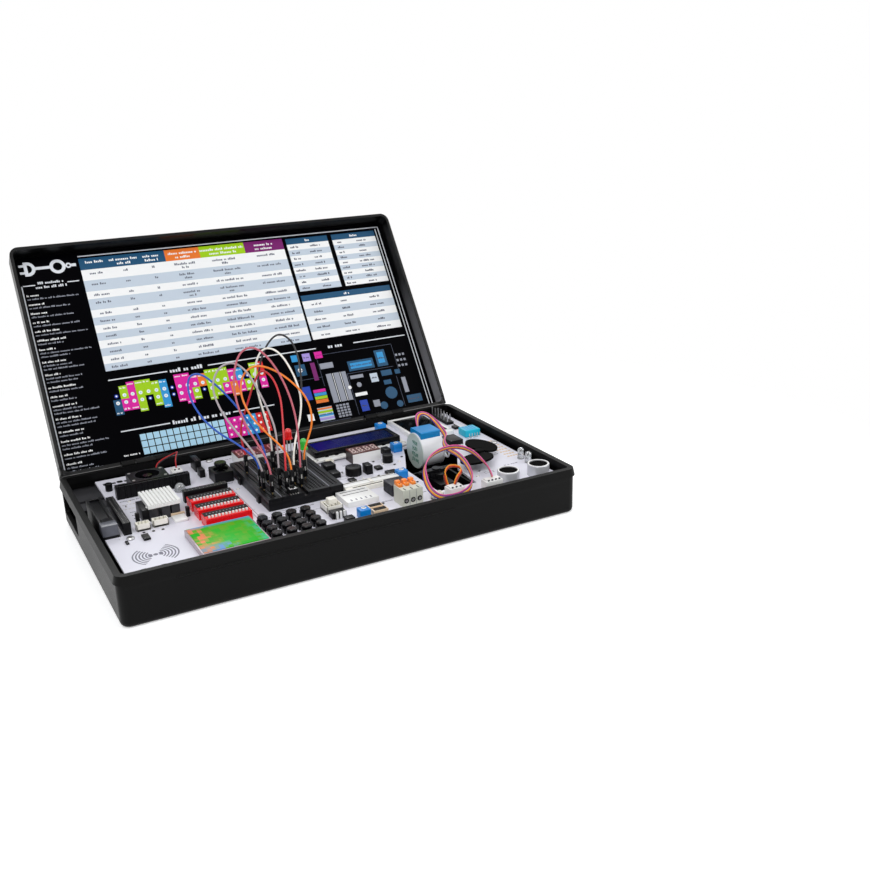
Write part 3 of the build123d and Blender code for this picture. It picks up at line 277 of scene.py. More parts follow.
def lid_finish():
    """Glossy black with a painted reflection: pale grey on the lower part of the inner side wall, fading out
    upwards.
    """
    # pale is the colour of the painted reflection on the inner side wall
    black, pale = (0.002, 0.002, 0.0022, 1), rgb(150, 150, 154)
    out_of_panel = (0, -0.829, 0.559)
    wall_x, wall_depth = (0.1545, 0.1592), (-0.0716, -0.0590)
    painted_reflection_below, painted_reflection_fade = 0.132, 0.09
    material = finish("lid_black", black, 0.32, grain=2600, bump=0.10, specular=0.2)
    w = Wiring(material.node_tree)
    where = w.place()
    axes = w.axes(where)
    # wall and low mask the painted reflection: the lower part of the inner side wall
    wall = w.times(w.between(axes["X"], *wall_x), w.between(w.dot(where, out_of_panel), *wall_depth))
    low = w.ramp(axes["Z"], painted_reflection_below, -painted_reflection_fade)
    return recolour(material, w, w.mix(w.times(wall, low), black, pale))


def lcd_finish():
    """Deep blue window, lighter towards one end."""
    material = finish("lcd_blue", rgb(8, 10, 80), 0.2, bump=0.0, wander=0.0, specular=0.15)
    w = Wiring(material.node_tree)
    light = w.ramp(w.axes(w.place())["X"], 0.085, -1 / 12)
    return recolour(material, w, w.mix(light, rgb(6, 6, 46), rgb(12, 16, 120)))


def cells_finish():
    """Glow of the light matrix: mostly green, warm on one side, blue and teal at the edges."""
    cell = 0.0027
    material = finish("light_cells", rgb(0, 200, 90), 0.3, bump=0.02, specular=0.1, glow=0.16)
    w = Wiring(material.node_tree)
    where = w.place()
    axes = w.axes(where)
    x, y = axes["X"], axes["Y"]
    block = w.node("ShaderNodeVectorMath", {0: where, 1: (cell, cell, cell)}, operation="SNAP")["Vector"]
    shade = w.ramp(w.noise(block, 150.0), 0.42, 1 / 4)
    blotch = w.ramp(w.noise(block, 210.0, 1.0), 0.44, 1 / 7)
    rest = w.calc("SUBTRACT", 1.0, blotch)
    front_left = w.times(w.ramp(y, -0.0740, -0.006), w.ramp(x, -0.0840, -0.008))
    back = w.times(w.ramp(y, -0.0500, 0.005), w.ramp(w.noise(block, 60.0, 0.0), 0.50, 0.1))
    color = w.mix(shade, rgb(0, 166, 0), rgb(100, 156, 0))
    for share, patch in ((w.times(w.ramp(x, -0.0925, -0.010), blotch), rgb(226, 124, 84)),
                         (w.times(front_left, rest), rgb(96, 140, 196)),
                         (w.times(w.ramp(x, -0.0740, 0.010), rest), rgb(30, 190, 160)),
                         (back, rgb(70, 160, 226))):
        color = w.mix(share, color, patch)
    return recolour(material, w, color, ("Base Color", "Emission Color"))


lid_black, lcd_blue, light_cells = lid_finish(), lcd_finish(), cells_finish()


# ---------------------------------------------------------------- making pieces
def link(name, mesh, body, stands_for=()):
    piece = bpy.data.objects.new(name, mesh)
    bpy.context.scene.collection.objects.link(piece)
    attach(piece, body)
    if stands_for:
        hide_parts(*stands_for)
    return piece


class Making:
    """One piece while it is being made, in millimetres of its working frame."""

    def __init__(self):
        self.bm = bmesh.new()
        self.finishes = []

    def paint(self, verts, material):
        if material not in self.finishes:
            self.finishes.append(material)
        index = self.finishes.index(material)
        for face in {f for v in verts for f in v.link_faces}:
            face.material_index = index
        return verts

    def soften(self, verts, width):
        edges = list({e for v in verts for e in v.link_edges})
        bmesh.ops.bevel(self.bm, geom=edges, offset=width, offset_type="OFFSET", segments=2, profile=0.5,
                        affect="EDGES", material=-1, clamp_overlap=True)

    def box(self, x0, x1, y0, y1, z0, z1, material, soft=0.0):
        place = Matrix.Translation(((x0 + x1) / 2, (y0 + y1) / 2, (z0 + z1) / 2))
        size = Matrix.Diagonal((x1 - x0, y1 - y0, z1 - z0, 1))
        verts = bmesh.ops.create_cube(self.bm, size=1.0, matrix=place @ size)["verts"]
        self.paint(verts, material)
        if soft:
            self.soften(verts, soft)

    def block(self, x, y, wide, deep, z0, z1, material, soft=0.0):
        """Box centred on x, y."""
        self.box(x - wide / 2, x + wide / 2, y - deep / 2, y + deep / 2, z0, z1, material, soft)

    def walls(self, x0, x1, y0, y1, thick, z0, z1, material, soft=0.0):
        """Four walls just inside a rectangle."""
        for wall in ((x0, x1, y0, y0 + thick), (x0, x1, y1 - thick, y1),
                     (x0, x0 + thick, y0, y1), (x1 - thick, x1, y0, y1)):
            self.box(*wall, z0, z1, material, soft)

    def rod(self, place, r0, r1, length, material, sides=20, soft=0.0):
        """Upright rod or cone that stands on place."""
        place = place if isinstance(place, Matrix) else Matrix.Translation(place)
        middle = place @ Matrix.Translation((0, 0, length / 2))
        verts = bmesh.ops.create_cone(self.bm, cap_ends=True, segments=sides, radius1=r0, radius2=r1,
                                      depth=length, matrix=middle)["verts"]
        self.paint(verts, material)
        if soft:
            self.soften([v for v in verts if v.co.z > place.translation.z + length / 2], soft)

    def ball(self, place, r, material):
        made = bmesh.ops.create_uvsphere(self.bm, u_segments=20, v_segments=12, radius=r,
                                         matrix=Matrix.Translation(place))["verts"]
        self.paint(made, material)

    def ring(self, place, r_out, r_in, z0, z1, material, sides=36, arc=FULL_TURN, start=0.0):
        """Flat ring or part of one, spun from its cross-section."""
        x, y = place
        corners = [(r_in, z0), (r_out, z0), (r_out, z1), (r_in, z1)]
        verts = [self.bm.verts.new((x + r * math.cos(start), y + r * math.sin(start), z)) for r, z in corners]
        face = self.bm.faces.new(verts)
        full = arc > FULL_TURN - 0.001
        made = bmesh.ops.spin(self.bm, geom=[face, *verts, *face.edges], cent=(x, y, 0), axis=(0, 0, 1),
                              angle=arc, steps=sides, use_merge=full)
        last = [g for g in made["geom_last"] if isinstance(g, bmesh.types.BMVert) and g.is_valid]
        around = {v for v in verts if v.is_valid} | set(last)
        grown = set(around)
        while around:
            around = {e.other_vert(v) for v in around for e in v.link_edges} - grown
            grown |= around
        self.paint(grown, material)
        if full and face.is_valid:
            bmesh.ops.delete(self.bm, geom=[face], context="FACES_ONLY")

    def letters(self, x0, x1, y, size, z0, z1, material, dice):
        """A line of letter-like marks that say nothing."""
        x = x0
        while x < x1:
            for _ in range(dice.randint(2, 8)):
                wide = size * dice.uniform(0.35, 0.62)
                if x + wide > x1:
                    return
                tall = size * dice.choice((0.66, 0.66, 0.66, 1.0))
                self.box(x, x + wide, y, y + tall, z0, z1, material)
                x += wide + size * 0.2
            x += size * 0.6

    def done(self, name, body="case", place=BOARD, slot=None, stands_for=()):
        bmesh.ops.transform(self.bm, matrix=place, verts=self.bm.verts)
        bmesh.ops.recalc_face_normals(self.bm, faces=self.bm.faces)
        for edge in self.bm.edges:
            edge.smooth = len(edge.link_faces) == 2 and edge.calc_face_angle(0.0) < SMOOTH_BELOW
        for face in self.bm.faces:
            face.smooth = True
        mesh = bpy.data.meshes.new(name)
        self.bm.to_mesh(mesh)
        self.bm.free()
        for material in self.finishes:
            mesh.materials.append(material)
        return link(name, mesh, body, stands_for)


# ---------------------------------------------------------------- camera, floor and light
LENS, SENSOR = 41.9, 36.0
CAMERA_AT = (-0.246943, -0.639682, 0.297262)
CAMERA_RIGHT, CAMERA_DOWN = Vector((0.87531, -0.48280, -0.02695)), Vector((-0.18122, -0.27586, -0.94396))
CAMERA_AHEAD = Vector((0.44831, 0.83114, -0.32896))
FLOOR_SIZE, FLOOR_DROP = 6.0, 0.0002
# where it is looked at, the floor glows by FLOOR_LIFT and fades into plain white further out
FLOOR_LIFT, FLOOR_FADE_FROM, FLOOR_FADE = 0.42, 0.25, 0.25
WHITE = (1, 1, 1, 1)
# place, height that it aims at, size and power
STUDIO_LIGHTS = {"key": ((-0.7, -0.9, 1.5), 0.05, 1.0, 16.0), "fill": ((1.3, -0.8, 1.0), 0.05, 1.2, 9.0),
                 "back": ((0.2, 1.5, 1.3), 0.1, 1.2, 12.0)}


def set_camera(scene):
    scene.view_settings.view_transform = "Standard"
    camera = bpy.data.objects.new("camera", bpy.data.cameras.new("camera"))
    camera.data.lens, camera.data.sensor_width = LENS, SENSOR
    camera.data.clip_start, camera.data.clip_end = 0.01, 20.0
    turn = Matrix((CAMERA_RIGHT, -CAMERA_DOWN, -CAMERA_AHEAD)).transposed().to_4x4()
    camera.matrix_world = Matrix.Translation(CAMERA_AT) @ turn
    scene.collection.objects.link(camera)
    scene.camera = camera


def seen_directly(w):
    """1 where the camera, a mirror or glass looks and 0 where only light falls."""
    rays = w.node("ShaderNodeLightPath")
    direct = w.calc("MAXIMUM", rays["Is Camera Ray"], rays["Is Transmission Ray"])
    return w.calc("MAXIMUM", direct, rays["Is Glossy Ray"])


def set_world(scene):
    """White where it is looked at, and a dim cool light where it only lights."""
    scene.world = bpy.data.worlds.new("studio")
    w = blank(scene.world)
    seen = seen_directly(w)
    dim = w.node("ShaderNodeBackground", {"Color": (0.95, 0.97, 1.0, 1), "Strength": 0.36})[0]
    white = w.node("ShaderNodeBackground", {"Color": WHITE, "Strength": 1.0})[0]
    w.end("ShaderNodeOutputWorld", w.blend(seen, dim, white))


def floor_finish():
    """Matt white that takes the shadow near the case and turns into the white surround further out."""
    pale = bpy.data.materials.new("floor_white")
    w = blank(pale)
    matt = w.node("ShaderNodeBsdfPrincipled", {"Base Color": (0.9, 0.9, 0.9, 1), "Roughness": 0.9,
                                               "Specular IOR Level": 0.0})[0]
    lift = w.node("ShaderNodeEmission", {"Color": WHITE, "Strength": FLOOR_LIFT})[0]
    white = w.node("ShaderNodeEmission", {"Color": WHITE, "Strength": 1.0})[0]
    seen = seen_directly(w)
    away = w.node("ShaderNodeVectorMath", {0: w.place()}, operation="LENGTH")["Value"]
    far = w.ramp(away, FLOOR_FADE_FROM, FLOOR_FADE)
    near = w.blend(seen, matt, w.node("ShaderNodeAddShader", {0: matt, 1: lift})[0])
    w.end("ShaderNodeOutputMaterial", w.blend(w.times(seen, far), near, white))
    return pale


def make_floor(scene):
    ground = bmesh.new()
    bmesh.ops.create_grid(ground, x_segments=1, y_segments=1, size=FLOOR_SIZE)
    mesh = bpy.data.meshes.new("floor")
    ground.to_mesh(mesh)
    ground.free()
    mesh.materials.append(floor_finish())
    floor = bpy.data.objects.new("floor", mesh)
    scene.collection.objects.link(floor)
    floor.location.z = -FLOOR_DROP


def set_lights(scene):
    for name, (where, aim_height, size, power) in STUDIO_LIGHTS.items():
        light = bpy.data.lights.new(name, "AREA")
        light.shape, light.size, light.energy = "DISK", size, power
        holder = bpy.data.objects.new(name, light)
        aim = (Vector((0, 0, aim_height)) - Vector(where)).to_track_quat("-Z", "Y")
        holder.matrix_world = Matrix.Translation(where) @ aim.to_matrix().to_4x4()
        scene.collection.objects.link(holder)


for set_up in (set_camera, set_world, make_floor, set_lights):
    set_up(bpy.context.scene)


# ---------------------------------------------------------------- wires
JUMPER_D = 1.4
JUMPERS = {
    "blue": ((20, 84, 190), [
        (108.5, 75, 22.5), (108, 75.5, 28), (103.5, 81, 34), (97.5, 89, 39.5), (88.5, 97, 46),
        (80.5, 107, 56), (76, 116, 70), (78.5, 122, 82), (86.5, 118, 84), (94.5, 110, 76),
        (102.5, 103, 65), (109.5, 96, 52), (115, 89, 40), (117, 84, 29.5), (116.5, 83, 22.5)]),
    "grey": ((178, 168, 172), [
        (108.5, 69, 22.5), (107.5, 71, 30), (103.5, 78, 39), (97.5, 86, 49), (91.5, 96, 62),
        (89, 103, 77), (95.5, 106, 89), (105.5, 102, 93), (113, 95.5, 86), (117.5, 89, 73),
        (121.5, 82, 59), (123.5, 77, 46), (121.5, 71.5, 32), (120.5, 69, 22.5)]),
    "pink": ((196, 98, 112), [
        (111.5, 60, 22.5), (111, 62, 31), (107.5, 70, 42), (103, 79, 54), (100.5, 88, 69),
        (102.5, 95, 85), (109.5, 99, 100), (119.5, 94, 103.5), (128.5, 86, 92), (134.5, 78, 74),
        (136.5, 71, 56), (135, 65, 38), (134, 62.5, 29), (133.5, 62, 22.5)]),
    "orange": ((250, 132, 34), [
        (126.5, 61, 22.5), (127, 63, 29), (124.5, 69, 36.5), (117.5, 78, 45), (110, 88, 56),
        (107, 97, 69), (110.5, 103, 81), (119, 102, 88), (129.5, 97, 86), (140.5, 89, 77.5),
        (150, 81, 64), (151, 77, 48), (145, 76, 34.5), (142, 75.2, 28), (141.5, 75, 22.5)]),
    "white": ((250, 248, 238), [
        (131.5, 69, 22.5), (132.5, 71, 30), (137, 75.5, 40), (143.5, 81.5, 51), (148, 88, 64),
        (146.5, 98, 80), (141, 109, 94), (131.5, 115, 96.5), (125, 117, 83), (124.5, 113.5, 65),
        (127, 109, 48), (129, 105.5, 33), (128.5, 104, 22.5)]),
    "red": ((208, 38, 48), [
        (122.5, 61, 22.5), (123.5, 63, 30), (126.5, 71, 40), (130, 80, 53), (133, 89, 66),
        (131.5, 98, 79), (125.5, 104.5, 84), (119.5, 106, 73), (114.5, 107.5, 59), (109, 109.5, 44),
        (108, 108.5, 32), (109.5, 107, 22.5)]),
    "black": ((24, 24, 28), [
        (148.5, 110, 22.5), (150, 110.2, 31), (155.5, 112, 43), (159.5, 117, 60), (162, 124, 79),
        (160.5, 132.5, 94), (151.5, 137.5, 100), (141.5, 139, 90), (134.5, 137, 74), (131, 132.5, 56),
        (131, 124, 41), (133, 118, 30.5), (133.5, 116, 22.5)]),
}
STRAND_D = 0.8
LEADS = {
    "stepper": (2.0, [(226, 92, 150), (132, 60, 160), (240, 200, 70), (244, 120, 36), (46, 40, 130)], [
        (248.5, 106.2, 14.6), (249.5, 111, 20.6), (253.5, 114.5, 25.5), (260, 113.5, 24.5),
        (265, 108.5, 18.5), (266, 98.5, 13), (262.5, 88, 13), (256, 79, 14.5), (250, 69, 15),
        (246.5, 57, 15), (246.5, 44, 15.5), (245, 31.5, 15), (243, 20.5, 13), (240, 10.5, 10),
        (235.5, 4, 6), (228, 2.2, 2.8), (218.5, 2.2, 2.4), (210, 2.8, 3.5), (205.5, 7.5, 7.5),
        (205, 14, 13), (207.5, 21, 19.5), (214.5, 26.5, 24), (223.5, 30, 26.2),
        (233.5, 30, 27.3), (242, 27.5, 26.2), (248.5, 23, 22.5), (252, 16, 17.5),
        (253, 8.5, 13.5), (253, 5.5, 8.55)]),
    "servo": (1.8, [(250, 160, 30), (226, 60, 30), (120, 60, 40)], [
        (231.5, 30.4, -17.5), (231.5, 25.4, -17.3), (230.7, 23.2, -12), (229.3, 23, -4),
        (226.3, 23.2, 3.5), (225.8, 25, 10), (230, 27.8, 13.8), (234.5, 25, 14.5), (236, 19, 14.5),
        (233, 13.5, 14), (228, 10.8, 12.2), (225.5, 10, 7.45)]),
    "cooler": (1.6, [(190, 30, 36), (30, 30, 32)], [
        (70.5, 153, 5.8), (70.8, 154.5, 10.5), (73.5, 159, 14.3), (75.8, 165, 13.5),
        (73, 170.5, 10.2), (66.5, 171, 8), (60.5, 167.5, 6.5), (57.5, 160.5, 5.5), (56.5, 153.5, 5)]),
}
# strands lie side by side, square to LEAD_UP but for LEAD_ROLL, and turn by LEAD_TWIST on the way
LEAD_UP, LEAD_ROLL, LEAD_TWIST = Vector((0.3, 0.25, 1.0)), 0.6, 2.0


def curve_of(points, kind, radius=0.0):
    """Mesh of a round cord, or of a bare line, through or along points in metres."""
    data = bpy.data.curves.new("route", "CURVE")
    data.dimensions = "3D"
    spline = data.splines.new(kind)
    spline.points.add(len(points) - 1)
    for point, co in zip(spline.points, points):
        point.co = (*co, 1.0)
    if kind == "NURBS":
        spline.order_u = 3
        spline.use_endpoint_u = True
    data.resolution_u = 10
    data.bevel_depth, data.bevel_resolution, data.use_fill_caps = radius, 3, True
    holder = bpy.data.objects.new("route", data)
    bpy.context.scene.collection.objects.link(holder)
    mesh = bpy.data.meshes.new_from_object(holder)
    bpy.data.objects.remove(holder)
    return mesh


def line_of(route):
    """Points along a route's smooth line."""
    mesh = curve_of([BOARD @ Vector(p) for p in route], "NURBS")
    return [v.co.copy() for v in mesh.vertices]


def press(piece):
    """Give a piece its own copy of its mesh."""
    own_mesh(piece)


def make_jumpers():
    for name, (color, route) in JUMPERS.items():
        mesh = curve_of([BOARD @ Vector(p) for p in route], "NURBS", JUMPER_D * MM / 2)
        mesh.materials.append(colour_finish(f"jumper_{name}", color, 0.38, tone=0.1, bump=0.15))
        mesh.shade_smooth()
        piece = link(f"jumper_{name}", mesh, "case", ["jumper_wires"])
        press(piece)
        line_of(route)


def strand_line(line, away):
    """Line of one strand, which keeps a distance from the middle of its lead."""
    shifted = []
    last = len(line) - 1
    for k, point in enumerate(line):
        ahead = (line[min(k + 1, last)] - line[max(k - 1, 0)]).normalized()
        side = ahead.cross(LEAD_UP).normalized()
        roll = Matrix.Rotation(LEAD_ROLL + LEAD_TWIST * k / len(line), 3, ahead)
        shifted.append(point + (roll @ side) * away)
    return shifted


def make_leads():
    for name, (diameter, colors, route) in LEADS.items():
        line = line_of(route)
        bundle = bmesh.new()
        lead = bpy.data.meshes.new(f"lead_{name}")
        for i, color in enumerate(colors):
            away = (i - (len(colors) - 1) / 2) * STRAND_D * MM
            before = len(bundle.faces)
            bundle.from_mesh(curve_of(strand_line(line, away), "POLY", STRAND_D * MM / 2))
            bundle.faces.ensure_lookup_table()
            for face in bundle.faces[before:]:
                face.material_index = i
                face.smooth = True
            lead.materials.append(colour_finish(f"lead_{name}_{i + 1}", color, 0.4, tone=0.1, bump=0.1))
        bundle.to_mesh(lead)
        bundle.free()
        piece = link(f"lead_{name}", lead, "case", ["motor_cables"])
        press(piece)


make_jumpers()
make_leads()

# ---------------------------------------------------------------- breadboard and what stands on it
BREADBOARD = (105.0, 159.5, 50.0, 133.0)
BREADBOARD_SKIRT, HOLE_ROWS, HOLE_PITCH, HOLE_RIM, HOLE_DEPTH = 2.4, 30, 2.54, 0.75, 1.4
TRENCH, FIELD, RAIL = 1.4, 17.25, 17.65
PLUG_FOOT, PLUG_TOP, PLUG_W = BREADBOARD_TOP, 22.2, 2.5
LAMPS = ((140.2, 100.0, 30.5, lamp_red), (147.5, 90.0, 24.5, lamp_green))
BUTTON = (124.0, 55.0)


def extend(bm, rim):
    """Extrude open edges; gives the new outer edges and their vertices."""
    made = bmesh.ops.extrude_edge_only(bm, edges=rim)["geom"]
    rim = [g for g in made if isinstance(g, bmesh.types.BMEdge) and len(g.link_faces) == 1]
    return rim, {v for e in rim for v in e.verts}


def holed_block(b, left, right, columns):
    """Block of the breadboard: a grid of square holes, each in its bead, and the block's sides."""
    y0, y1 = BREADBOARD[2:]
    middle, mid_y = (left + right) / 2, (y0 + y1) / 2
    wide, deep = columns * HOLE_PITCH, HOLE_ROWS * HOLE_PITCH
    place = Matrix.Translation((middle, mid_y, BREADBOARD_TOP)) @ Matrix.Diagonal((wide, deep, 1, 1))
    grid = bmesh.ops.create_grid(b.bm, x_segments=columns, y_segments=HOLE_ROWS, size=0.5, matrix=place)
    verts = b.paint(grid["verts"], part_black)
    faces = list({f for v in verts for f in v.link_faces})
    rim = [e for e in {e for v in verts for e in v.link_edges} if len(e.link_faces) == 1]
    rim, outer = extend(b.bm, rim)
    for v in outer:
        if abs(v.co.x - middle) > wide / 2 - 0.01:
            v.co.x = left if v.co.x < middle else right
        if abs(v.co.y - mid_y) > deep / 2 - 0.01:
            v.co.y = y0 if v.co.y < mid_y else y1
    rim, outer = extend(b.bm, rim)
    for v in outer:
        v.co.z = BREADBOARD_TOP - BREADBOARD_SKIRT - 0.05
    bmesh.ops.holes_fill(b.bm, edges=rim)
    bmesh.ops.inset_individual(b.bm, faces=faces, thickness=HOLE_RIM)
    holes = bmesh.ops.extrude_discrete_faces(b.bm, faces=faces)["faces"]
    for v in {v for f in holes for v in f.verts}:
        v.co.z -= HOLE_DEPTH
    b.paint([v for f in holes for v in f.verts], soot_black)


def make_breadboard():
    b = Making()
    x0, x1, y0, y1 = BREADBOARD
    mid, skirt_top = (x0 + x1) / 2, BREADBOARD_TOP - BREADBOARD_SKIRT
    b.box(x0, x1, y0, y1, 0, skirt_top, part_black, 0.3)
    for y in (y0 + 20, y0 + 60):
        b.box(x0 - 1.4, x0 + 1, y - 2.5, y + 2.5, 0, 5, part_black, 0.2)
    for left, right, columns in ((x0, mid - RAIL, 2), (mid - FIELD, mid - TRENCH, 5),
                                 (mid + TRENCH, mid + FIELD, 5), (mid + RAIL, x1, 2)):
        holed_block(b, left, right, columns)
    for side in (-1, 1):
        seam = mid + side * (FIELD + RAIL) / 2
        b.box(seam - 0.28, seam + 0.28, y0 + 2, y1 - 2, skirt_top, BREADBOARD_TOP + 0.05, wire_grey)
    b.done("breadboard_body", slot="black_plastic", stands_for=["breadboard"])


def make_plug(b, x, y):
    """Black plug on its gold pin, with the crimp showing in two of its sides."""
    half = PLUG_W / 2
    b.block(x, y, PLUG_W, PLUG_W, PLUG_FOOT + 1.2, PLUG_TOP, part_black, 0.25)
    b.block(x, y, 0.7, 0.7, PLUG_FOOT - 0.6, PLUG_FOOT + 1.4, gold)
    b.box(x - half - 0.03, x - half + 0.2, y - 0.5, y + 0.5, PLUG_FOOT + 6, PLUG_FOOT + 9, tin)
    b.box(x - 0.5, x + 0.5, y - half - 0.03, y - half + 0.2, PLUG_FOOT + 6, PLUG_FOOT + 9, tin)


def make_lamp(b, x, y, z, glass):
    """Round lamp with its collar, on two legs in the breadboard."""
    b.rod((x, y, z), 2.9, 2.9, 1.0, glass, 28)
    b.rod((x, y, z + 0.6), 2.5, 2.5, 4.9, glass, 28)
    b.ball((x, y, z + 5.5), 2.5, glass)
    for leg in (-1.27, 1.27):
        b.block(x + leg, y, 0.56, 0.56, PLUG_FOOT - 0.5, z + 1.5, tin)


def make_push_switch(b, x, y):
    b.block(x, y, 6, 6, PLUG_FOOT + 0.1, PLUG_FOOT + 3.2, part_black, 0.3)
    b.block(x, y, 5.4, 5.4, PLUG_FOOT + 3.1, PLUG_FOOT + 3.6, silver, 0.15)
    b.rod((x, y, PLUG_FOOT + 3.5), 1.7, 1.6, 1.6, gloss_black, 24, 0.3)
    for leg in (-2.5, -0.8, 1.0, 2.6):
        b.box(x + leg - 0.4, x + leg + 0.4, y - 4.4, y - 2.9, PLUG_FOOT - 0.3, PLUG_FOOT + 0.5, tin)


def make_circuit():
    """Plugs of the jumper wires, the two lamps and the push switch."""
    b = Making()
    for _, route in JUMPERS.values():
        for x, y, _ in (route[0], route[-1]):
            make_plug(b, x, y)
    for lamp in LAMPS:
        make_lamp(b, *lamp)
    make_push_switch(b, *BUTTON)
    piece = b.done("breadboard_circuit", slot="black_plastic", stands_for=["breadboard_parts"])
    press(piece)


make_breadboard()
make_circuit()

# ---------------------------------------------------------------- displays
# middle of each bar of a figure, in halves of its width and height, and whether the bar stands upright
BARS = ((0, 1, False), (0, -1, False), (0, 0, False), (-1, 0.5, True), (1, 0.5, True), (-1, -0.5, True),
        (1, -0.5, True))
BAR_THICK = 0.8


def figure(b, x, y, wide, tall, z, material):
    """Seven outlined bars of one figure."""
    for across, up, upright in BARS:
        long = (tall / 2 if upright else wide) - BAR_THICK * 1.2
        size = (BAR_THICK, long) if upright else (long, BAR_THICK)
        b.block(x + across * wide / 2, y + up * tall / 2, *size, z - 0.2, z + 0.06, material)


def make_digit_displays():
    """Two blocks of four figures: a small one and a wide one."""
    b = Making()
    small, wide_one = (189.5, 212.5, 100, 113.5), (115, 148.5, 143, 160)
    for (x0, x1, y0, y1), h, face, mark in ((small, 9, digit_brown, segment_white),
                                            (wide_one, 8, digit_red, segment_pink)):
        b.box(x0, x1, y0, y1, 0, h - 0.9, part_white, 0.25)
        b.box(x0, x1, y0, y1, h - 1.0, h, face, 0.3)
        share = (x1 - x0) / 4
        for i in range(4):
            figure(b, x0 + share * (i + 0.5), (y0 + y1) / 2, share * 0.46, (y1 - y0) * 0.62, h, mark)
            b.rod((x0 + share * (i + 0.86), y0 + 2.2, h - 0.3), 0.45, 0.45, 0.36, mark, 12)
    b.box(small[0] - 0.05, small[0] + 0.4, small[2] + 0.3, small[3] - 0.3, 0.3, 8.2, digit_side)
    b.done("digit_displays", slot="display_face", stands_for=["segment_displays"])


def make_character_display():
    """Two-line display: a blue window in a black frame, on its own board with a row of solder eyes."""
    b = Making()
    x, y, w, d, board, frame_top = 163.5, 114.5, 80.0, 36.0, 3.0, 8.0
    screw_in, frame_x, frame_y, bar = 2.8, 4.0, 6.0, 2.4
    b.box(x, x + w, y, y + d, 1.4, board, part_white, 0.25)
    for px in (x + screw_in, x + w - screw_in):
        for py in (y + screw_in, y + d - screw_in):
            b.rod((px, py, 0), 2.2, 2.2, 1.5, tin)
            b.ring((px, py), 2.3, 1.3, board - 0.1, board + 0.12, tin)
    left, right, front, back = x + frame_x, x + w - frame_x, y + frame_y, y + d - frame_y
    for piece in ((left, right, front, front + bar), (left, right, back - bar, back),
                  (left, left + 3.5, front + 1, back - 1), (right - 3.5, right, front + 1, back - 1)):
        b.box(*piece, board, frame_top, gloss_black, 0.4)
    b.box(left + 3, right - 3, front + 2, back - 2, board, frame_top - 0.5, lcd_blue)
    for i in range(16):
        b.ring((x + 8 + i * HOLE_PITCH, y + d - 2.4), 0.85, 0.45, board - 0.05, board + 0.15, gold, 12)
    for i in range(8):
        tab = x + 12 + i * 8
        for edge in (front - 1.2, back - 0.2):
            b.box(tab, tab + 2.6, edge, edge + 1.4, board - 0.1, board + 0.5, gloss_black)
    b.done("character_display", slot="lcd", stands_for=["lcd_module"])


def make_colour_display():
    """Small dark screen in a white frame with a wider foot."""
    b = Making()
    x0, x1, y0, y1, board, top = 253.0, 287.5, 119.5, 171.0, 3.0, 3.7
    side, foot, head = 2.6, 5.4, 3.6
    b.box(x0, x1, y0, y1, 0, board, part_white, 0.3)
    for bar in ((x0, x1, y0, y0 + foot), (x0, x1, y1 - head, y1), (x0, x0 + side, y0 + 4, y1 - 3),
                (x1 - side, x1, y0 + 4, y1 - 3)):
        b.box(*bar, board - 0.4, top, part_white, 0.25)
    b.box(x0 + side - 0.2, x1 - side + 0.2, y0 + foot - 0.2, y1 - head + 0.2, board - 0.4, top - 0.15,
          tft_glass, 0.1)
    b.box(x0 + 8, x1 - 8, y0 + 0.8, y0 + 3.0, top - 0.15, top + 0.25, tin, 0.1)
    b.done("colour_display", slot="tft", stands_for=["tft_display"])


def make_light_matrix():
    """Light matrix: a pale clear frame with the glowing cover let into it."""
    b = Making()
    x0, x1, y0, y1 = 45.0, 88.5, 0.5, 42.0
    b.box(x0, x1, y0, y1, 0, 4.5, matrix_frame, 0.3)
    b.box(x0 + 1.0, x1 - 1.0, y0 + 0.8, y1 - 0.8, 4.2, 5.0, light_cells, 0.35)
    b.done("light_matrix", slot="matrix_cover", stands_for=["led_matrix"])


make_digit_displays()
make_character_display()
make_colour_display()
make_light_matrix()

# ---------------------------------------------------------------- sockets and small parts on the board
PRINT_LOW, PRINT_HIGH = -0.05, 0.05
READER = (22.5, 26.0)
# places of the single resistors and capacitors
CHIP_PLACES = (
    (24, 62), (30, 61), (36, 60.5), (95, 104), (100, 101), (103, 146), (108, 139), (160, 112), (176, 90),
    (182, 96), (188, 91), (196, 88), (205, 98), (209, 90), (216, 84), (222, 88), (228, 96), (196, 94),
    (184, 71), (196, 70), (212, 72), (150, 40), (158, 22), (176, 22), (178, 8), (214, 44), (212, 38),
    (256, 30), (262, 38), (286, 24), (292, 70), (286, 90), (290, 96), (296, 96), (248, 144), (300, 140),
    (92, 132), (40, 108), (24, 112), (28, 120), (56, 108))
# front left corner and length of each printed line
LABELS = (
    (47, 44.5, 10), (94, 40.5, 22), (120, 46, 16), (22, 122, 14), (24, 82, 5), (24, 88, 5), (24, 94, 5),
    (24, 100, 5), (94, 115, 8), (92, 148, 9), (164, 110.8, 14), (182, 102, 6), (166, 66, 26), (196, 66, 18),
    (188, 28, 12), (204, 25, 8), (262, 22, 20), (284, 38, 12), (290, 104, 12), (256, 116, 16),
    (164, 152.2, 40), (208, 153, 26), (120, 162, 20), (150, 158, 10), (24, 162, 14), (24, 157, 10),
    (176, 24, 10), (152, 10, 6), (286, 84, 12), (212, 98, 8), (226, 116, 9), (92, 122, 5), (104, 164, 12))
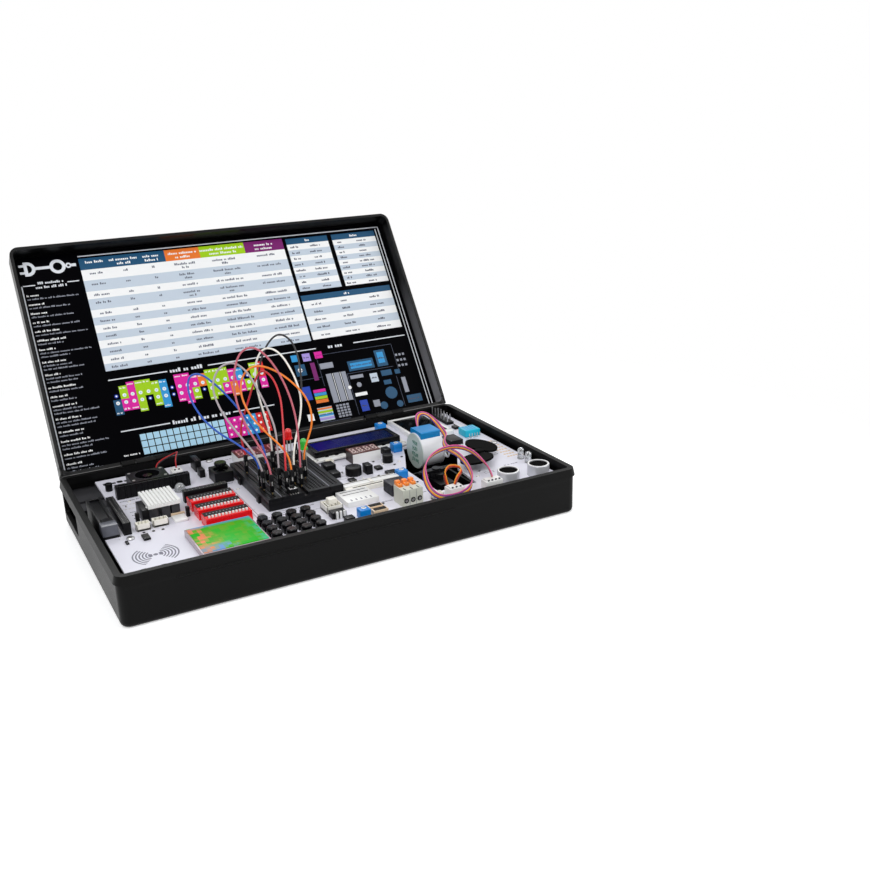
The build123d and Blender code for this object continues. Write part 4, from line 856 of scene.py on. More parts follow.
# x0, x1, y0, y1 and height of each part of a kind
OPEN_SOCKETS = ((20.5, 29.5, 65, 70.5, 5), (31.5, 41.5, 66, 71.5, 5), (136.5, 148, 25, 37.5, 5),
                (171.5, 177.5, 107.3, 113.3, 4), (207.5, 215, 6.5, 12, 5))
FILLED_SOCKETS = ((66.5, 74.5, 150, 156.5, 5.5), (246, 259.5, 1.5, 9, 8), (219.5, 231, 6, 14, 7))
BLACK_BLOCKS = (
    (21, 25.5, 49, 57.3, 1.6), (10, 12, 49, 54, 1), (189.5, 194.5, 76, 84, 7), (199.5, 204.5, 80, 86, 2),
    (165, 173, 94, 104, 6), (165, 171.5, 82, 91, 4), (218, 223.5, 104.5, 112, 5), (271.5, 282.5, 96, 111, 4),
    (136, 146, 15, 22, 4.5), (141, 147, 3, 9, 4), (294, 298.5, 129, 135, 2), (173, 178, 68, 74, 1.6),
    (202, 210, 66.5, 72.5, 2), (27.6, 33.4, 78, 97, 8.6))
# the opening of the board over both motors, with the notch for the geared motor's ear
RECESS = ((218.5, 21), (249.5, 21), (252, 52), (266, 77), (262.6, 114), (261, 114), (261, 119), (257.6, 119),
          (257.6, 114), (238.5, 114), (232, 98), (218.5, 70))


def pins(b, x, y, count, step, along, z0, z1, material=gold, thick=0.64):
    """Row of square pins."""
    for i in range(count):
        px, py = (x + i * step, y) if along == "x" else (x, y + i * step)
        b.block(px, py, thick, thick, z0, z1, material)


def pins_within(b, x0, x1, y, count, z0, z1):
    """Row of legs spread over a part's width, a little in from its ends."""
    pins(b, x0 + 0.8, y, count, (x1 - x0 - 1.6) / (count - 1), "x", z0, z1, tin, 0.7)


def socket(b, x0, x1, y0, y1, z1, columns, rows):
    """Black header body with a grid of sunk square wells and a contact in each."""
    b.box(x0, x1, y0, y1, 0, z1, part_black, 0.15)
    for i in range(columns):
        for k in range(rows):
            x = x0 + (x1 - x0) * (i + 0.5) / columns
            y = y0 + (y1 - y0) * (k + 0.5) / rows
            b.block(x, y, 0.9, 0.9, z1 - 0.3, z1 + 0.02, soot_black)
            b.block(x, y, 0.4, 0.4, z1 - 0.3, z1 + 0.04, tin)


def make_board_plate():
    """White board with its stepped left edge and the slanted opening over both motors."""
    b = Making()
    radius, quarter = 2, [math.radians(k * 15) for k in range(7)]
    outline = [(10, 64), (0, 64)]
    for x, y, start in ((radius, radius, math.pi), (BOARD_W - radius, radius, 1.5 * math.pi),
                        (BOARD_W - radius, BOARD_D - radius, 0)):
        outline += [(x + radius * math.cos(start + a), y + radius * math.sin(start + a)) for a in quarter]
    outline += [(15, BOARD_D), (15, 118.5), (10, 118.5)]
    edges = []
    for loop in (outline, RECESS):
        verts = [b.bm.verts.new((x, y, -BOARD_THICK)) for x, y in loop]
        edges += [b.bm.edges.new((v, verts[(i + 1) % len(verts)])) for i, v in enumerate(verts)]
    filled = bmesh.ops.triangle_fill(b.bm, use_beauty=True, use_dissolve=False, edges=edges)["geom"]
    faces = [g for g in filled if isinstance(g, bmesh.types.BMFace)]
    b.paint([v for f in faces for v in f.verts], board_white)
    for v in bmesh.ops.extrude_face_region(b.bm, geom=faces)["geom"]:
        if isinstance(v, bmesh.types.BMVert):
            v.co.z = 0.0
    b.done("board_plate", slot="white_board", stands_for=["main_board"])


def make_headers():
    """Tall stepped socket at the left edge, pin sockets and the small black parts near them."""
    b = Making()
    x0, x1, y0, y1 = -1, 9, 64.5, 117
    b.box(x0, x1, y0, y1, -25.6, 7.5, part_black, 0.4)
    for wall in ((x0, 1, y0, y1), (7, x1, y0, y1), (0, 8, y0, 78), (0, 8, 115, y1)):
        b.box(*wall, 7.0, 9.0, part_black, 0.3)
    b.box(x0 - 0.1, x1 + 0.1, y0 - 0.2, 72.5, 1.5, 9.1, socket_grey, 0.5)
    socket(b, 12, 17, 64, 115.4, 8.5, 2, 20)
    socket(b, 60.5, 91.5, 96, 101, 8.5, 12, 2)
    socket(b, 84, 88.5, 150, 164, 9, 1, 5)
    b.box(83.5, 87.5, 137, 145, 0, 6, part_black, 0.3)
    b.box(23, 25.5, 77, 79.5, 0, 8, part_black, 0.2)
    b.box(55, 57.5, 72, 74.5, 0, 7, part_black, 0.2)
    b.box(46, 55.2, 77, 78.4, 0, 2.4, pad_tan, 0.2)
    b.rod((20.5, 149, 0), 2.5, 2.5, 5.6, gloss_black, 28, 0.4)
    b.done("header_sockets", slot="black_plastic", stands_for=["board_headers"])


def make_data_ports(b, front, foot, y):
    """Shell of two data ports one above the other, dark inside, with a tongue in each."""
    back, width, top, thick = 14.5, 14.4, -0.6, 0.9
    for side in (0, width - thick):
        b.box(front, back, y + side, y + side + thick, foot, top, dull_metal)
    for low, high in ((foot, foot + 1.6), (foot + 6.8, foot + 8.8), (foot + 14.0, top)):
        b.box(front, back, y + 0.5, y + width - 0.5, low, high, dull_metal)
    b.box(6.6, back - 0.1, y + 0.5, y + width - 0.5, foot, top - 0.2, part_black)
    for tongue in (foot + 3.6, foot + 10.8):
        b.box(front + 1.5, 7.0, y + 2.0, y + width - 2.0, tongue, tongue + 1.6, part_black)


def make_network_port(b, front, foot, y):
    """Shell of the network port, dark inside, with its eight contacts."""
    width, top, thick = 15.8, -3.1, 1.9
    for wall in ((y, y + thick, foot, top), (y + width - thick, y + width, foot, top),
                 (y + 1, y + 15, foot, foot + 2.5), (y + 1, y + 15, foot + 10.5, top)):
        b.box(front, 18.5, *wall, dull_metal)
    b.box(6.6, 18.4, y + 1, y + 15, foot + 0.5, top - 0.2, part_black)
    for i in range(8):
        b.box(front + 2, 7, y + 4 + i, y + 4.4 + i, foot + 9.6, foot + 10.6, gold)


def make_computer():
    """Small computer under the board, with its ports behind the window in the case's left wall."""
    b = Making()
    foot, front = -16.6, -2.5
    b.box(-0.5, 84.5, 119, 175, foot - 1.4, foot, green_board, 0.2)
    make_data_ports(b, front, foot, 121.5)
    make_data_ports(b, front, foot, 139.5)
    make_network_port(b, front, foot, 157.5)
    b.box(29.5, 43.5, 139, 153, foot, foot + 2.4, silver, 0.4)
    b.box(23.5, 74.5, 166, 171, foot, -BOARD_THICK, part_black)
    b.done("side_computer", slot="computer_green", stands_for=["computer_board"])


def make_card_guide(b):
    """Long cream guide with a raised middle and dark slots."""
    x0, x1, y0, y1, h = 161.5, 204.2, 49.5, 62.5, 3.4
    b.box(x0, x1, y0, y1, 0, h, cream, 0.3)
    b.box(x0, x1, y0 + 3.7, y1 - 3.9, h - 0.2, h + 1.0, part_white, 0.3)
    for left, right, y, tone in ((163.5, 203.0, 60.0, soot_black), (167.0, 190.0, 50.6, soot_black),
                                 (192.0, 202.0, 50.6, silk_dark)):
        b.box(left, right, y, y + 1.3, h - 0.05, h + 0.1, tone)
    b.box(181.5, 184.0, 52.6, 59.2, 4.2, 4.9, cream, 0.2)


def make_twin_socket(b):
    """Tan base with two raised blocks, each with a dark mouth."""
    x0, x1, y0, y1 = 160.5, 172.5, 4, 18
    b.box(x0, x1, y0, y1, 0, 1.6, pad_tan, 0.2)
    for y in (y0 + 0.6, y1 - 6.2):
        b.box(x0 + 0.7, x1 - 0.7, y, y + 5.6, 1.4, 4.0, pad_tan, 0.2)
    for y in (y0 + 1.4, y1 - 5.4):
        b.box(x0 + 1.7, x1 - 1.7, y, y + 4.0, 3.8, 4.3, soot_black, 0.1)


def make_flat_block(b):
    """Low white block with two dark lines and a row of grey marks."""
    x0, x1, y0, y1, h = 152.5, 175.5, 27, 48.5, 4
    b.box(x0, x1, y0, y1, 0, h, part_white, 0.3)
    for y in (40.2, 44.9):
        b.box(x0 + 2, x1 - 2, y, y + 0.8, h - 0.1, h + 0.06, silk_dark)
    for i in range(5):
        x = x0 + 3.5 + i * 3.6
        b.box(x, x + 0.9, 28.6, 31.4, h - 0.1, h + 0.1, wire_grey)


def make_sockets():
    """White wire sockets, plugs in use, the card guide and the flat block."""
    b = Making()
    for x0, x1, y0, y1, h in OPEN_SOCKETS:
        b.box(x0, x1, y0, y1, 0, 1.5, cream, 0.1)
        b.walls(x0, x1, y0, y1, 0.7, 0, h, cream, 0.15)
    for x0, x1, y0, y1, h in FILLED_SOCKETS:
        b.box(x0, x1, y0, y1, 0, h - 1, part_white, 0.2)
        b.box(x0 + 1, x1 - 1, y0 + 1, y1 - 1, h - 1.2, h, part_white, 0.2)
        span = x1 - x0 - 2
        count = int(span / 2.4)
        for i in range(count):
            x = x0 + 1 + span * (i + 0.5) / count
            b.box(x - 0.7, x + 0.7, y0 + 0.95, y0 + 1.6, h - 0.9, h + 0.04, silk_dark)
    b.box(45.5, 54.5, 66, 76, 0, 1.8, part_white, 0.5)
    b.box(140.5, 146.5, 31, 36.8, 1, 7.5, cream, 0.4)
    for i in range(3):
        x = 138.4 + i * 2.6
        b.box(x, x + 1.4, 13.6, 15.2, 0, 5.4, part_white, 0.2)
    make_flat_block(b)
    make_card_guide(b)
    make_twin_socket(b)
    b.done("board_sockets", slot="cream_plastic", stands_for=["cream_sockets"])


def make_relay():
    b = Making()
    x0, x1, y0, y1, h = 186.5, 200.5, 29, 43, 8.4
    b.box(x0, x1, y0, y1, 0, h, relay_grey, 0.6)
    for i in range(6):
        y = y0 + 1.4 + i * 2.1
        b.box(x0 - 0.14, x0 + 0.3, y, y + 0.9, 0.5, h - 1, part_black)
        b.box(x0 + 1.1, x1 - 1.1, y, y + 0.4, h - 0.1, h + 0.06, part_black)
    b.done("relay_block", slot="relay_grey", stands_for=["relay"])


def make_trimmers():
    """Blue trimmers, each with a slotted white screw in a round rim."""
    b = Making()
    size, h = 7.4, 6.6
    for x0, y0 in ((237.5, 156), (227, 106.6), (204.5, 53.5), (151.6, 4.4)):
        x, y = x0 + size / 2, y0 + size / 2
        b.box(x0, x0 + size, y0, y0 + size, 0, h, trimmer_blue, 0.5)
        b.rod((x, y, h - 0.2), 2.5, 2.4, 0.4, trimmer_blue, 28, 0.1)
        b.rod((x, y, h + 0.1), 1.8, 1.8, 0.3, part_white, 24)
        b.block(x, y, 2.8, 0.6, h + 0.3, h + 0.46, silk_dark)
    b.done("trimmer_blocks", slot="trimmer_blue", stands_for=["trimmers"])


def make_small_blocks():
    """Circuits and other black blocks, the buzzer with its hole and the round button."""
    b = Making()
    for x0, x1, y0, y1, h in BLACK_BLOCKS:
        b.box(x0, x1, y0, y1, 0.05, h, part_black, 0.25)
        b.rod((x0 + 1.0, y0 + 1.0, h - 0.1), 0.35, 0.35, 0.14, wire_grey, 10)
    x, y = 182, 83
    b.rod((x, y, 0), 6, 6, 6.2, part_black, 40, 0.5)
    b.rod((x, y, 6.0), 1.2, 1.2, 0.3, soot_black, 16)
    b.ring((x, y), 4.4, 3.9, 6.1, 6.3, relay_grey)
    b.rod((214.5, 92.5, 0), 4, 4, 6, part_black, 32, 0.5)
    b.done("small_blocks", slot="black_plastic", stands_for=["chips"])


def make_cyan_sensor():
    """Cyan block with two rows of slots."""
    b = Making()
    x0, x1, y0, y1, h = 291.0, 304.6, 106.5, 118.5, 5.8
    b.box(x0, x1, y0, y1, 0, h, sensor_cyan, 0.7)
    for i in range(4):
        x = x0 + 2.2 + i * 2.6
        for y in (y0 + 1.8, y0 + 6.4):
            b.box(x, x + 1.2, y, y + 3.8, h - 0.1, h + 0.05, trimmer_blue)
    b.done("cyan_sensor", slot="sensor_cyan", stands_for=["humidity_sensor"])


def make_clear_domes():
    """Milky domes on a collar, with a dark core."""
    b = Making()
    for x, y, r, h in ((64, 121, 3.6, 6), (302.5, 44.5, 2.4, 8.6), (302.5, 34.5, 2.4, 8.6)):
        b.rod((x, y, 0), r * 1.1, r * 1.1, 1.0, milky, 28)
        b.rod((x, y, 0.8), r, r, h - r - 0.8, milky, 28)
        b.ball((x, y, h - r), r, milky)
        b.rod((x, y, h - r - 0.6), 0.7, 0.5, 1.2, soot_black, 12)
    b.done("clear_domes", slot="clear_dome", stands_for=["sensor_domes"])


def make_lever_tabs():
    """Orange spring levers that stand up through the terminal block."""
    b = Making()
    first, pitch, half = 187, 5, 1.75
    axle = Matrix.Translation((185.7, 19, 9)) @ Matrix.Rotation(math.radians(90), 4, "Y")
    b.rod(axle, 0.8, 0.8, 12.6, lever_orange, 16)
    for i in range(3):
        x = first + i * pitch
        b.box(x - 1.4, x + 1.4, 15.8, 20.4, 8.6, 10.6, lever_orange, 0.2)
        b.box(x - half, x + half, 16.4, 22.6, 9.6, 13.6, lever_orange, 0.35)
        b.box(x - half, x + half, 19.6, 22.6, 13.0, 15.0, lever_orange, 0.35)
        b.rod((x, 17.9, 13.5), 0.6, 0.6, 0.16, relay_grey, 16)
    b.done("lever_tabs", body="clamp_levers", slot="orange_plastic", stands_for=["terminal_levers"])


def make_propeller():
    """Two broad petals tilted about their arms, on a domed hub."""
    b = Making()
    x, y, z, thick, tilt = 273.5, 57.0, 5.1, 1.4, math.radians(10)
    for turned in (52, 232):
        arm = (Matrix.Translation((x, y, z + 1.9)) @ Matrix.Rotation(math.radians(turned), 4, "Z")
               @ Matrix.Rotation(tilt, 4, "X"))
        for out, long, wide, sides in ((14.2, 11.0, 12.5, 56), (3.5, 4.0, 2.5, 24)):
            place = arm @ Matrix.Translation((out, 0, -thick / 2)) @ Matrix.Diagonal((long, wide, 1, 1))
            b.rod(place, 1.0, 1.0, thick, petal_black, sides)
    b.rod((x, y, z), 3.6, 3.6, 3.6, petal_black, 32, 0.8)
    b.done("propeller_wheel", body="propeller", slot="black_plastic", stands_for=["propeller"])


def make_chip(b, x, y, turned, tone):
    """Tiny resistor or capacitor with a tinned end at each side."""
    wide, deep = (1.6, 0.9) if turned else (0.9, 1.6)
    b.block(x, y, wide, deep, 0, 0.7, tone, 0.08)
    for side in (-0.8, 0.8):
        ex, ey = (side, 0) if turned else (0, side)
        b.block(x + ex, y + ey, 0.8, 0.8, 0, 0.62, tin)


def make_small_parts():
    """Resistors, capacitors, pins and indicator lights between the modules."""
    b = Making()
    dice = random.Random(11)
    for x, y in CHIP_PLACES:
        turned = dice.random() < 0.5
        make_chip(b, x, y, turned, dice.choice((part_black, part_black, cream, relay_grey)))
    for x in (21.5, 25.2):
        pins(b, x, 49.5, 4, 1.9, "y", 0, 0.5, tin, 0.8)
    # legs of the circuits, in front of and behind each
    for x0, x1, y0, y1, count in ((135.6, 146.4, 14.4, 22.6, 6), (172.6, 178.4, 67.4, 74.6, 4),
                                  (201.6, 210.4, 65.9, 73.1, 5), (270.9, 283.1, 95.4, 111.6, 6)):
        for y in (y0, y1):
            pins_within(b, x0, x1, y, count, 0, 0.6)
    # two rows of upright pins on their strip, at the back right
    pins(b, 295.5, 144, 6, 5.2, "y", 0, 8.8, steel, 0.8)
    pins(b, 299.5, 146.6, 5, 5.2, "y", 0, 7.6, steel, 0.8)
    b.box(294.3, 300.7, 142.5, 171.5, 0, 2.4, part_black, 0.2)
    pins(b, 294.5, 106.4, 5, 2.4, "x", 0, 3, tin, 0.6)
    for x, y in ((264, 113.4), (289.5, 126), (289.5, 150)):
        b.block(x, y, 1.6, 3.2, 0, 1.2, cream, 0.15)
    # contacts of the wire sockets
    for i in range(3):
        x = 138.5 + i * 3.1
        b.box(x, x + 0.8, 27.5, 35.5, 0.8, 4.6, tin)
    for x0, x1 in ((22.0, 28.0), (33.0, 40.0)):
        pins_within(b, x0, x1, 70, 3, 1.4, 5.2)
    for y in (7.7, 14.2):
        pins(b, 164, y, 4, 1.7, "x", 1.4, 4.2, gold, 0.6)
    pins(b, 156, 41, 7, 2.6, "x", 2.4, 4.0, tin, 0.7)
    b.done("small_parts", slot="steel")


def make_reader_sign(b):
    """Waves that spread to both sides of a dot, over a line of figures."""
    waves = [(r + 0.45, r - 0.45, 12, 104) for r in (5.9, 7.9, 9.9, 11.9, 13.9)]
    for middle in (180, 0):
        for r_out, r_in, sides, spread in (*waves, (4.6, 2.2, 8, 70)):
            b.ring(READER, r_out, r_in, PRINT_LOW, PRINT_HIGH, silk_grey, sides, math.radians(spread),
                   math.radians(middle - spread / 2))
    b.rod((*READER, PRINT_LOW), 1.5, 1.5, PRINT_HIGH - PRINT_LOW, silk_grey, 24)


def bold_marks(b, x, y, pitch, wide, heights):
    """A line of bold black marks that say nothing."""
    for i, tall in enumerate(heights):
        b.box(x + i * pitch, x + wide + i * pitch, y, y + tall, PRINT_LOW, PRINT_HIGH, part_black)


def make_board_print():
    """Print on the board: frames, labels that say nothing, solder eyes and the sign on the reader's pad."""
    b = Making()
    dice = random.Random(5)
    frame_line = 0.25
    make_reader_sign(b)
    bold_marks(b, 9.5, 6.6, 4.1, 3.1, (3.4, 2.6, 3.0, 3.4, 2.2, 3.0))
    bold_marks(b, 19, 160.5, 5.0, 3.6, (4.2, 3.2, 4.2, 3.2))
    b.walls(92, 143.5, 1.0, 38.0, frame_line, PRINT_LOW, PRINT_HIGH, silk_grey)
    for x in (94.6, 96.6):
        b.box(x, x + 0.35, 42, 104, PRINT_LOW, PRINT_HIGH, silk_grey)
    for x, y, length in LABELS:
        b.letters(x, x + length, y, 1.5, PRINT_LOW, PRINT_HIGH, silk_grey, dice)
    for x, y in ((48, 46.5), (110, 44), (168, 78), (186, 90), (204, 74), (288, 62), (264, 32)):
        b.walls(x, x + dice.uniform(5, 9), y, y + dice.uniform(3, 6), frame_line, PRINT_LOW, PRINT_HIGH,
                silk_grey)
    for x, y in ((8, 60), (50, 112), (98, 60), (160, 46), (250, 116), (300, 30), (150, 166), (60, 166)):
        b.rod((x, y, PRINT_LOW), 0.5, 0.5, PRINT_HIGH - PRINT_LOW, tin, 12)
    for i in range(10):
        for y in (107.5, 115.5):
            b.ring((20.5 + i * 2.4, y), 0.8, 0.4, PRINT_LOW, 0.08, tin, 10)
    for i in range(4):
        for k in range(8):
            b.rod((297 + i * 2.4, 53 + k * 5.2, 0), 1.0, 1.0, 0.25, pad_tan, 8)
    b.done("board_print", slot="white_board")


for make in (make_board_plate, make_headers, make_computer, make_sockets, make_relay, make_trimmers,
             make_small_blocks, make_cyan_sensor, make_clear_domes, make_lever_tabs, make_propeller,
             make_small_parts, make_board_print):
    make()

# ---------------------------------------------------------------- details on the CAD modules
COOLER, COOLER_TOP = (47.1, 143.2), 8.8
MOTOR_LABEL_X, MOTOR_Y, MOTOR_Z = 239.86, 97, 2.3


def mark_switch_banks(b):
    """Painted shade on the switch banks: a dark band over the rear of each bank under its levers and a dark
    block in the gap between banks, with a mark beside each lever.
    """
    x, pitch = 76, 2.3
    for bank in range(3):
        y = 44.5 + 17 * bank
        # painted shade over the rear of the bank's top and its back
        b.box(61.0, 91.1, y + 5.3, y + 12.15, 5.6, 7.14, soot_black, 0.1)
        if bank < 2:
            # painted shade: a dark block that fills the gap to the next bank
            b.box(62.2, 91.2, y + 12.1, y + 16.9, 0, 4.6, soot_black, 0.2)
        for i in range(12):
            lever = x + (i - 5.5) * pitch
            b.box(lever - 0.35, lever + 0.35, y + 8.2, y + 9.6, 7.1, 7.2, wire_grey)


def mesh_transducers(b):
    """Dark crossed wires in the mouth of each can, inside a pale rim."""
    reach, pitch, wire = 6.3, 1.4, 0.2
    for x, y in ((269.9, 11.0), (295.1, 10.5)):
        b.rod((x, y, 7.75), 6.6, 6.6, 0.2, petal_black, 32)
        for i in range(-4, 5):
            away = i * pitch
            long = 2 * math.sqrt(reach ** 2 - away ** 2)
            b.block(x + away, y, wire, long, 7.9, 8.08, petal_black)
            b.block(x, y + away, long, wire, 7.9, 8.05, petal_black)
        b.ring((x, y), 7.6, 6.7, 8.4, 8.68, part_white, 40)


def mark_terminal(b):
    """Wire holes, screwdriver slots and seams of the terminal block."""
    pitch = 5
    for i in range(3):
        x = 184.5 + (i + 0.5) * pitch
        lie = Matrix.Translation((x, 8.15, 4.5)) @ Matrix.Rotation(math.radians(90), 4, "X")
        b.rod(lie, 1.75, 1.75, 0.25, soot_black, 24)
        b.rod(lie, 1.0, 1.0, 0.32, tin, 16)
        b.box(x - 0.35, x + 0.35, 8.5, 12.4, 11.7, 12.1, soot_black)
        if i:
            b.box(x - 2.6, x - 2.4, 7.9, 8.3, 0.4, 11.6, wire_grey)


def mark_motor(b, dice):
    """Four lines of strokes on the label side of the geared motor."""
    x0, x1 = MOTOR_LABEL_X, MOTOR_LABEL_X + 0.2
    for high, reach in ((8.2, 4.2), (3.6, 4.0), (-1.2, 5.2), (-5.6, 5.6)):
        y = -reach
        while y < reach - 0.9:
            wide = dice.uniform(0.7, 1.6)
            low = high - dice.uniform(2.4, 3.4)
            start = MOTOR_Y + y
            b.box(x0, x1, start, start + 0.6, MOTOR_Z + low, MOTOR_Z + high, label_green)
            if dice.random() < 0.75:
                bar = MOTOR_Z + dice.choice((high - 0.5, low, (high + low) / 2))
                b.box(x0, x1, start, start + wide, bar, bar + 0.65, label_green)
            y += wide + 0.5


def mark_cooler(b):
    """Rim round the cooler's fan and the heads of its four screws."""
    x, y = COOLER
    b.ring(COOLER, 9.3, 8.85, COOLER_TOP + 0.1, COOLER_TOP + 0.35, relay_grey)
    for px in (-11.3, 11.3):
        for py in (-7.8, 7.8):
            b.rod((x + px, y + py, COOLER_TOP), 1.1, 1.1, 0.35, tin, 16)


def make_module_details():
    b = Making()
    mark_switch_banks(b)
    mesh_transducers(b)
    mark_terminal(b)
    mark_motor(b, random.Random(3))
    mark_cooler(b)
    b.done("module_details", slot="steel")


make_module_details()

# ---------------------------------------------------------------- printed lid panel
INKS = {
    "white": (250, 251, 251), "row": (199, 211, 224), "text": (92, 98, 114), "ink": (60, 66, 84),
    "teal": (12, 76, 112), "orange": (236, 120, 44), "lime": (160, 208, 12), "purple": (118, 20, 104),
    "magenta": (222, 30, 158), "sky": (48, 150, 214), "red": (214, 34, 40), "ice": (176, 218, 240),
    "navy": (26, 64, 176), "lilac": (168, 148, 222), "grey": (150, 154, 166), "rule": (226, 230, 236)}
PRINT = {name: colour_finish(f"print_{name}", color, 0.34, tone=0.03, bump=0.02, specular=0.3)
         for name, color in INKS.items()}
LAYER, PATCH_FOOT = 0.05, -0.02
# wide table: its box and the height of its head, the coloured heads and the rows' shares of the height
TABLE, HEAD = (54.0, 225.0, 79.5, 176.0), 10.0
HEADS = ((54, 122, "teal"), (122, 151, "orange"), (151, 190, "lime"), (190, 225, "purple"))
ROWS = (9.5, 9.5, 6.6, 9.5, *[6.6] * 7, 6.1)
# its columns: x0, x1, width of the words and whether a tall row has a second line there
COLUMNS = ((54, 77, 12, False), (77, 100, 4, False), (100, 122, 3, False), (122, 151, 16, True),
           (151, 190, 22, True), (190, 225, 20, False))
# signal map: first letter of the ink of each name above and below the two rows of pins, where there is one
UPPER, LOWER = "-lmllls-mmmolllms-lr", "tmml-ls-mml-llmoml-m"
FIRST_LETTERS = {ink[0]: ink for ink in ("teal", "orange", "lime", "magenta", "sky", "red")}
CELLS = ["ice"] * 13 + ["magenta"] * 3 + ["sky"] * 2 + ["red"] * 2
# plan of blocks: x0, x1, y0, y1 and ink
PLAN = (
    (203, 209, 63, 69, "sky"), (213, 220, 62, 69, "lilac"), (224, 231, 63, 69, "magenta"),
    (204, 213, 50, 60, "teal"), (218, 222, 44, 60, "purple"), (226, 238, 53, 58, "grey"),
    (229, 234, 22, 48, "grey"), (236, 241, 22, 48, "grey"), (243, 247, 22, 48, "grey"),
    (205, 212, 28, 40, "navy"), (214, 225, 24, 27, "orange"), (214, 225, 27.4, 30, "lime"),
    (214, 225, 30.4, 33, "sky"), (214, 225, 33.4, 36, "magenta"), (213, 226, 8, 20, "row"),
    (213, 226, 9, 11, "lilac"), (213, 226, 12, 14, "sky"), (213, 226, 15, 17, "lime"),
    (213, 226, 18, 19.6, "orange"), (203, 208.5, 10, 16, "white"), (234.8, 235.3, 22, 48, "white"),
    (241.8, 242.3, 22, 48, "white"), (251, 275, 47, 56, "teal"), (253, 273, 49, 54, "sky"),
    (278, 288, 47, 62, "teal"), (280, 286, 50, 60, "sky"), (250, 262, 40, 43, "grey"),
    (268, 275, 34, 42, "row"), (250, 261, 24, 27, "white"), (252, 259, 10, 20, "navy"),
    (279, 289, 38, 43, "teal"), (292, 297, 38, 42, "teal"), (279, 286, 30, 34, "teal"),
    (296, 310, 10, 17, "teal"), (264, 270, 12, 18, "grey"), (296, 300, 20, 34, "grey"))
PLAN_DISCS = ((283, 22, 5.5, "teal"), (273, 12, 3.4, "teal"), (288, 11, 3.0, "teal"), (208, 55, 2.0, "white"),
              (247, 33, 1.6, "white"), (256, 34, 2.2, "grey"))


class Printing(Making):
    """Print on the lid panel: patches of ink in layers and lines of marks that say nothing."""

    def __init__(self, dice):
        super().__init__()
        self.dice = dice

    def patch(self, x0, x1, y0, y1, ink, layer=1):
        self.box(x0, x1, y0, y1, PATCH_FOOT, LAYER * layer, PRINT[ink])

    def disc(self, x, y, r, ink, layer, sides):
        self.rod((x, y, 0), r, r, LAYER * layer, PRINT[ink], sides)

    def hoop(self, x, y, r_out, r_in, sides, **part):
        self.ring((x, y), r_out, r_in, PATCH_FOOT, LAYER, PRINT["rule"], sides, **part)

    def text(self, x0, x1, y, size, ink, layer=3):
        self.letters(x0, x1, y, size, LAYER, LAYER * layer, PRINT[ink], self.dice)

    def middle_text(self, x, width, y, size, ink, layer=3):
        """Text of about half the width given, centred on x."""
        wide = width * self.dice.uniform(0.35, 0.8)
        self.text(x - wide / 2, x + wide / 2, y, size, ink, layer)


def print_gates(p):
    """Two logic gates with their leads, in place of a title."""
    x, y, lead = 18.0, 171.5, 1.2
    p.patch(x - 5.5, x - 2.9, y - 6, y + 6, "rule")
    p.hoop(x - 3.0, y, 6.0, 3.4, 20, arc=math.pi, start=-math.pi / 2)
    p.patch(x + 2.6, x + 7.5, y - lead, y + lead, "rule")
    for side in (-3.0, 3.0):
        p.patch(x - 9.0, x - 5.4, y + side - 1.0, y + side + 1.0, "rule")
    x = 37.5
    p.hoop(x, y, 6.0, 3.4, 28)
    p.hoop(x + 8.2, y, 2.3, 1.0, 18)
    p.patch(x + 10.3, x + 14.0, y - lead, y + lead, "rule")
    p.patch(x - 12.6, x - 5.9, y - lead, y + lead, "rule")


def print_left_column(p):
    """Two short lines between rules, then bold lines with finer ones under them, down to the foot."""
    for x0, x1 in ((9, 18), (42, 51)):
        p.patch(x0, x1, 157.2, 158.0, "rule")
    p.text(20, 40, 158.0, 2.0, "rule")
    p.text(18, 42, 154.4, 2.0, "rule")
    p.patch(7.6, 8.5, 8, 157.5, "rule")
    left, y, foot = 10, 148.5, 9
    while y > foot:
        p.text(left, left + p.dice.uniform(10, 22), y, 1.55, "white")
        for _ in range(p.dice.choice((1, 1, 2))):
            y -= 2.9
            p.text(left, left + p.dice.uniform(18, 40), y, 1.3, "grey")
        y -= 4.6


def print_wide_table(p):
    """White table with coloured heads and every other row tinted."""
    left, right, foot, top = TABLE
    under_head = top - HEAD
    p.patch(left, right, foot, under_head, "white")
    for x0, x1, ink in HEADS:
        p.patch(x0, x1, under_head, top, ink, 2)
    for x0, x1, _, _ in COLUMNS:
        p.middle_text((x0 + x1) / 2, (x1 - x0) * 1.3, top - 4.6, 2.1, "white", 4)
        if x0 > left:
            p.middle_text((x0 + x1) / 2, x1 - x0, top - 8.2, 2.1, "white", 4)
    scale = (under_head - foot) / sum(ROWS)
    y = under_head
    for i, row in enumerate(ROWS):
        height = row * scale
        y -= height
        if i % 2:
            p.patch(left, right, y, y + height, "row", 2)
        for x0, x1, wide, second_line in COLUMNS:
            line = y + height - 4.4 if height > 8 else y + height / 2 - 1.0
            middle = (x0 + x1) / 2
            reach = wide * p.dice.uniform(0.8, 1.1) / 2
            p.text(middle - reach, middle + reach, line, 1.9, "text")
            if height > 8 and second_line:
                p.text(middle - 3, middle + 3, line - 3.2, 1.9, "text")


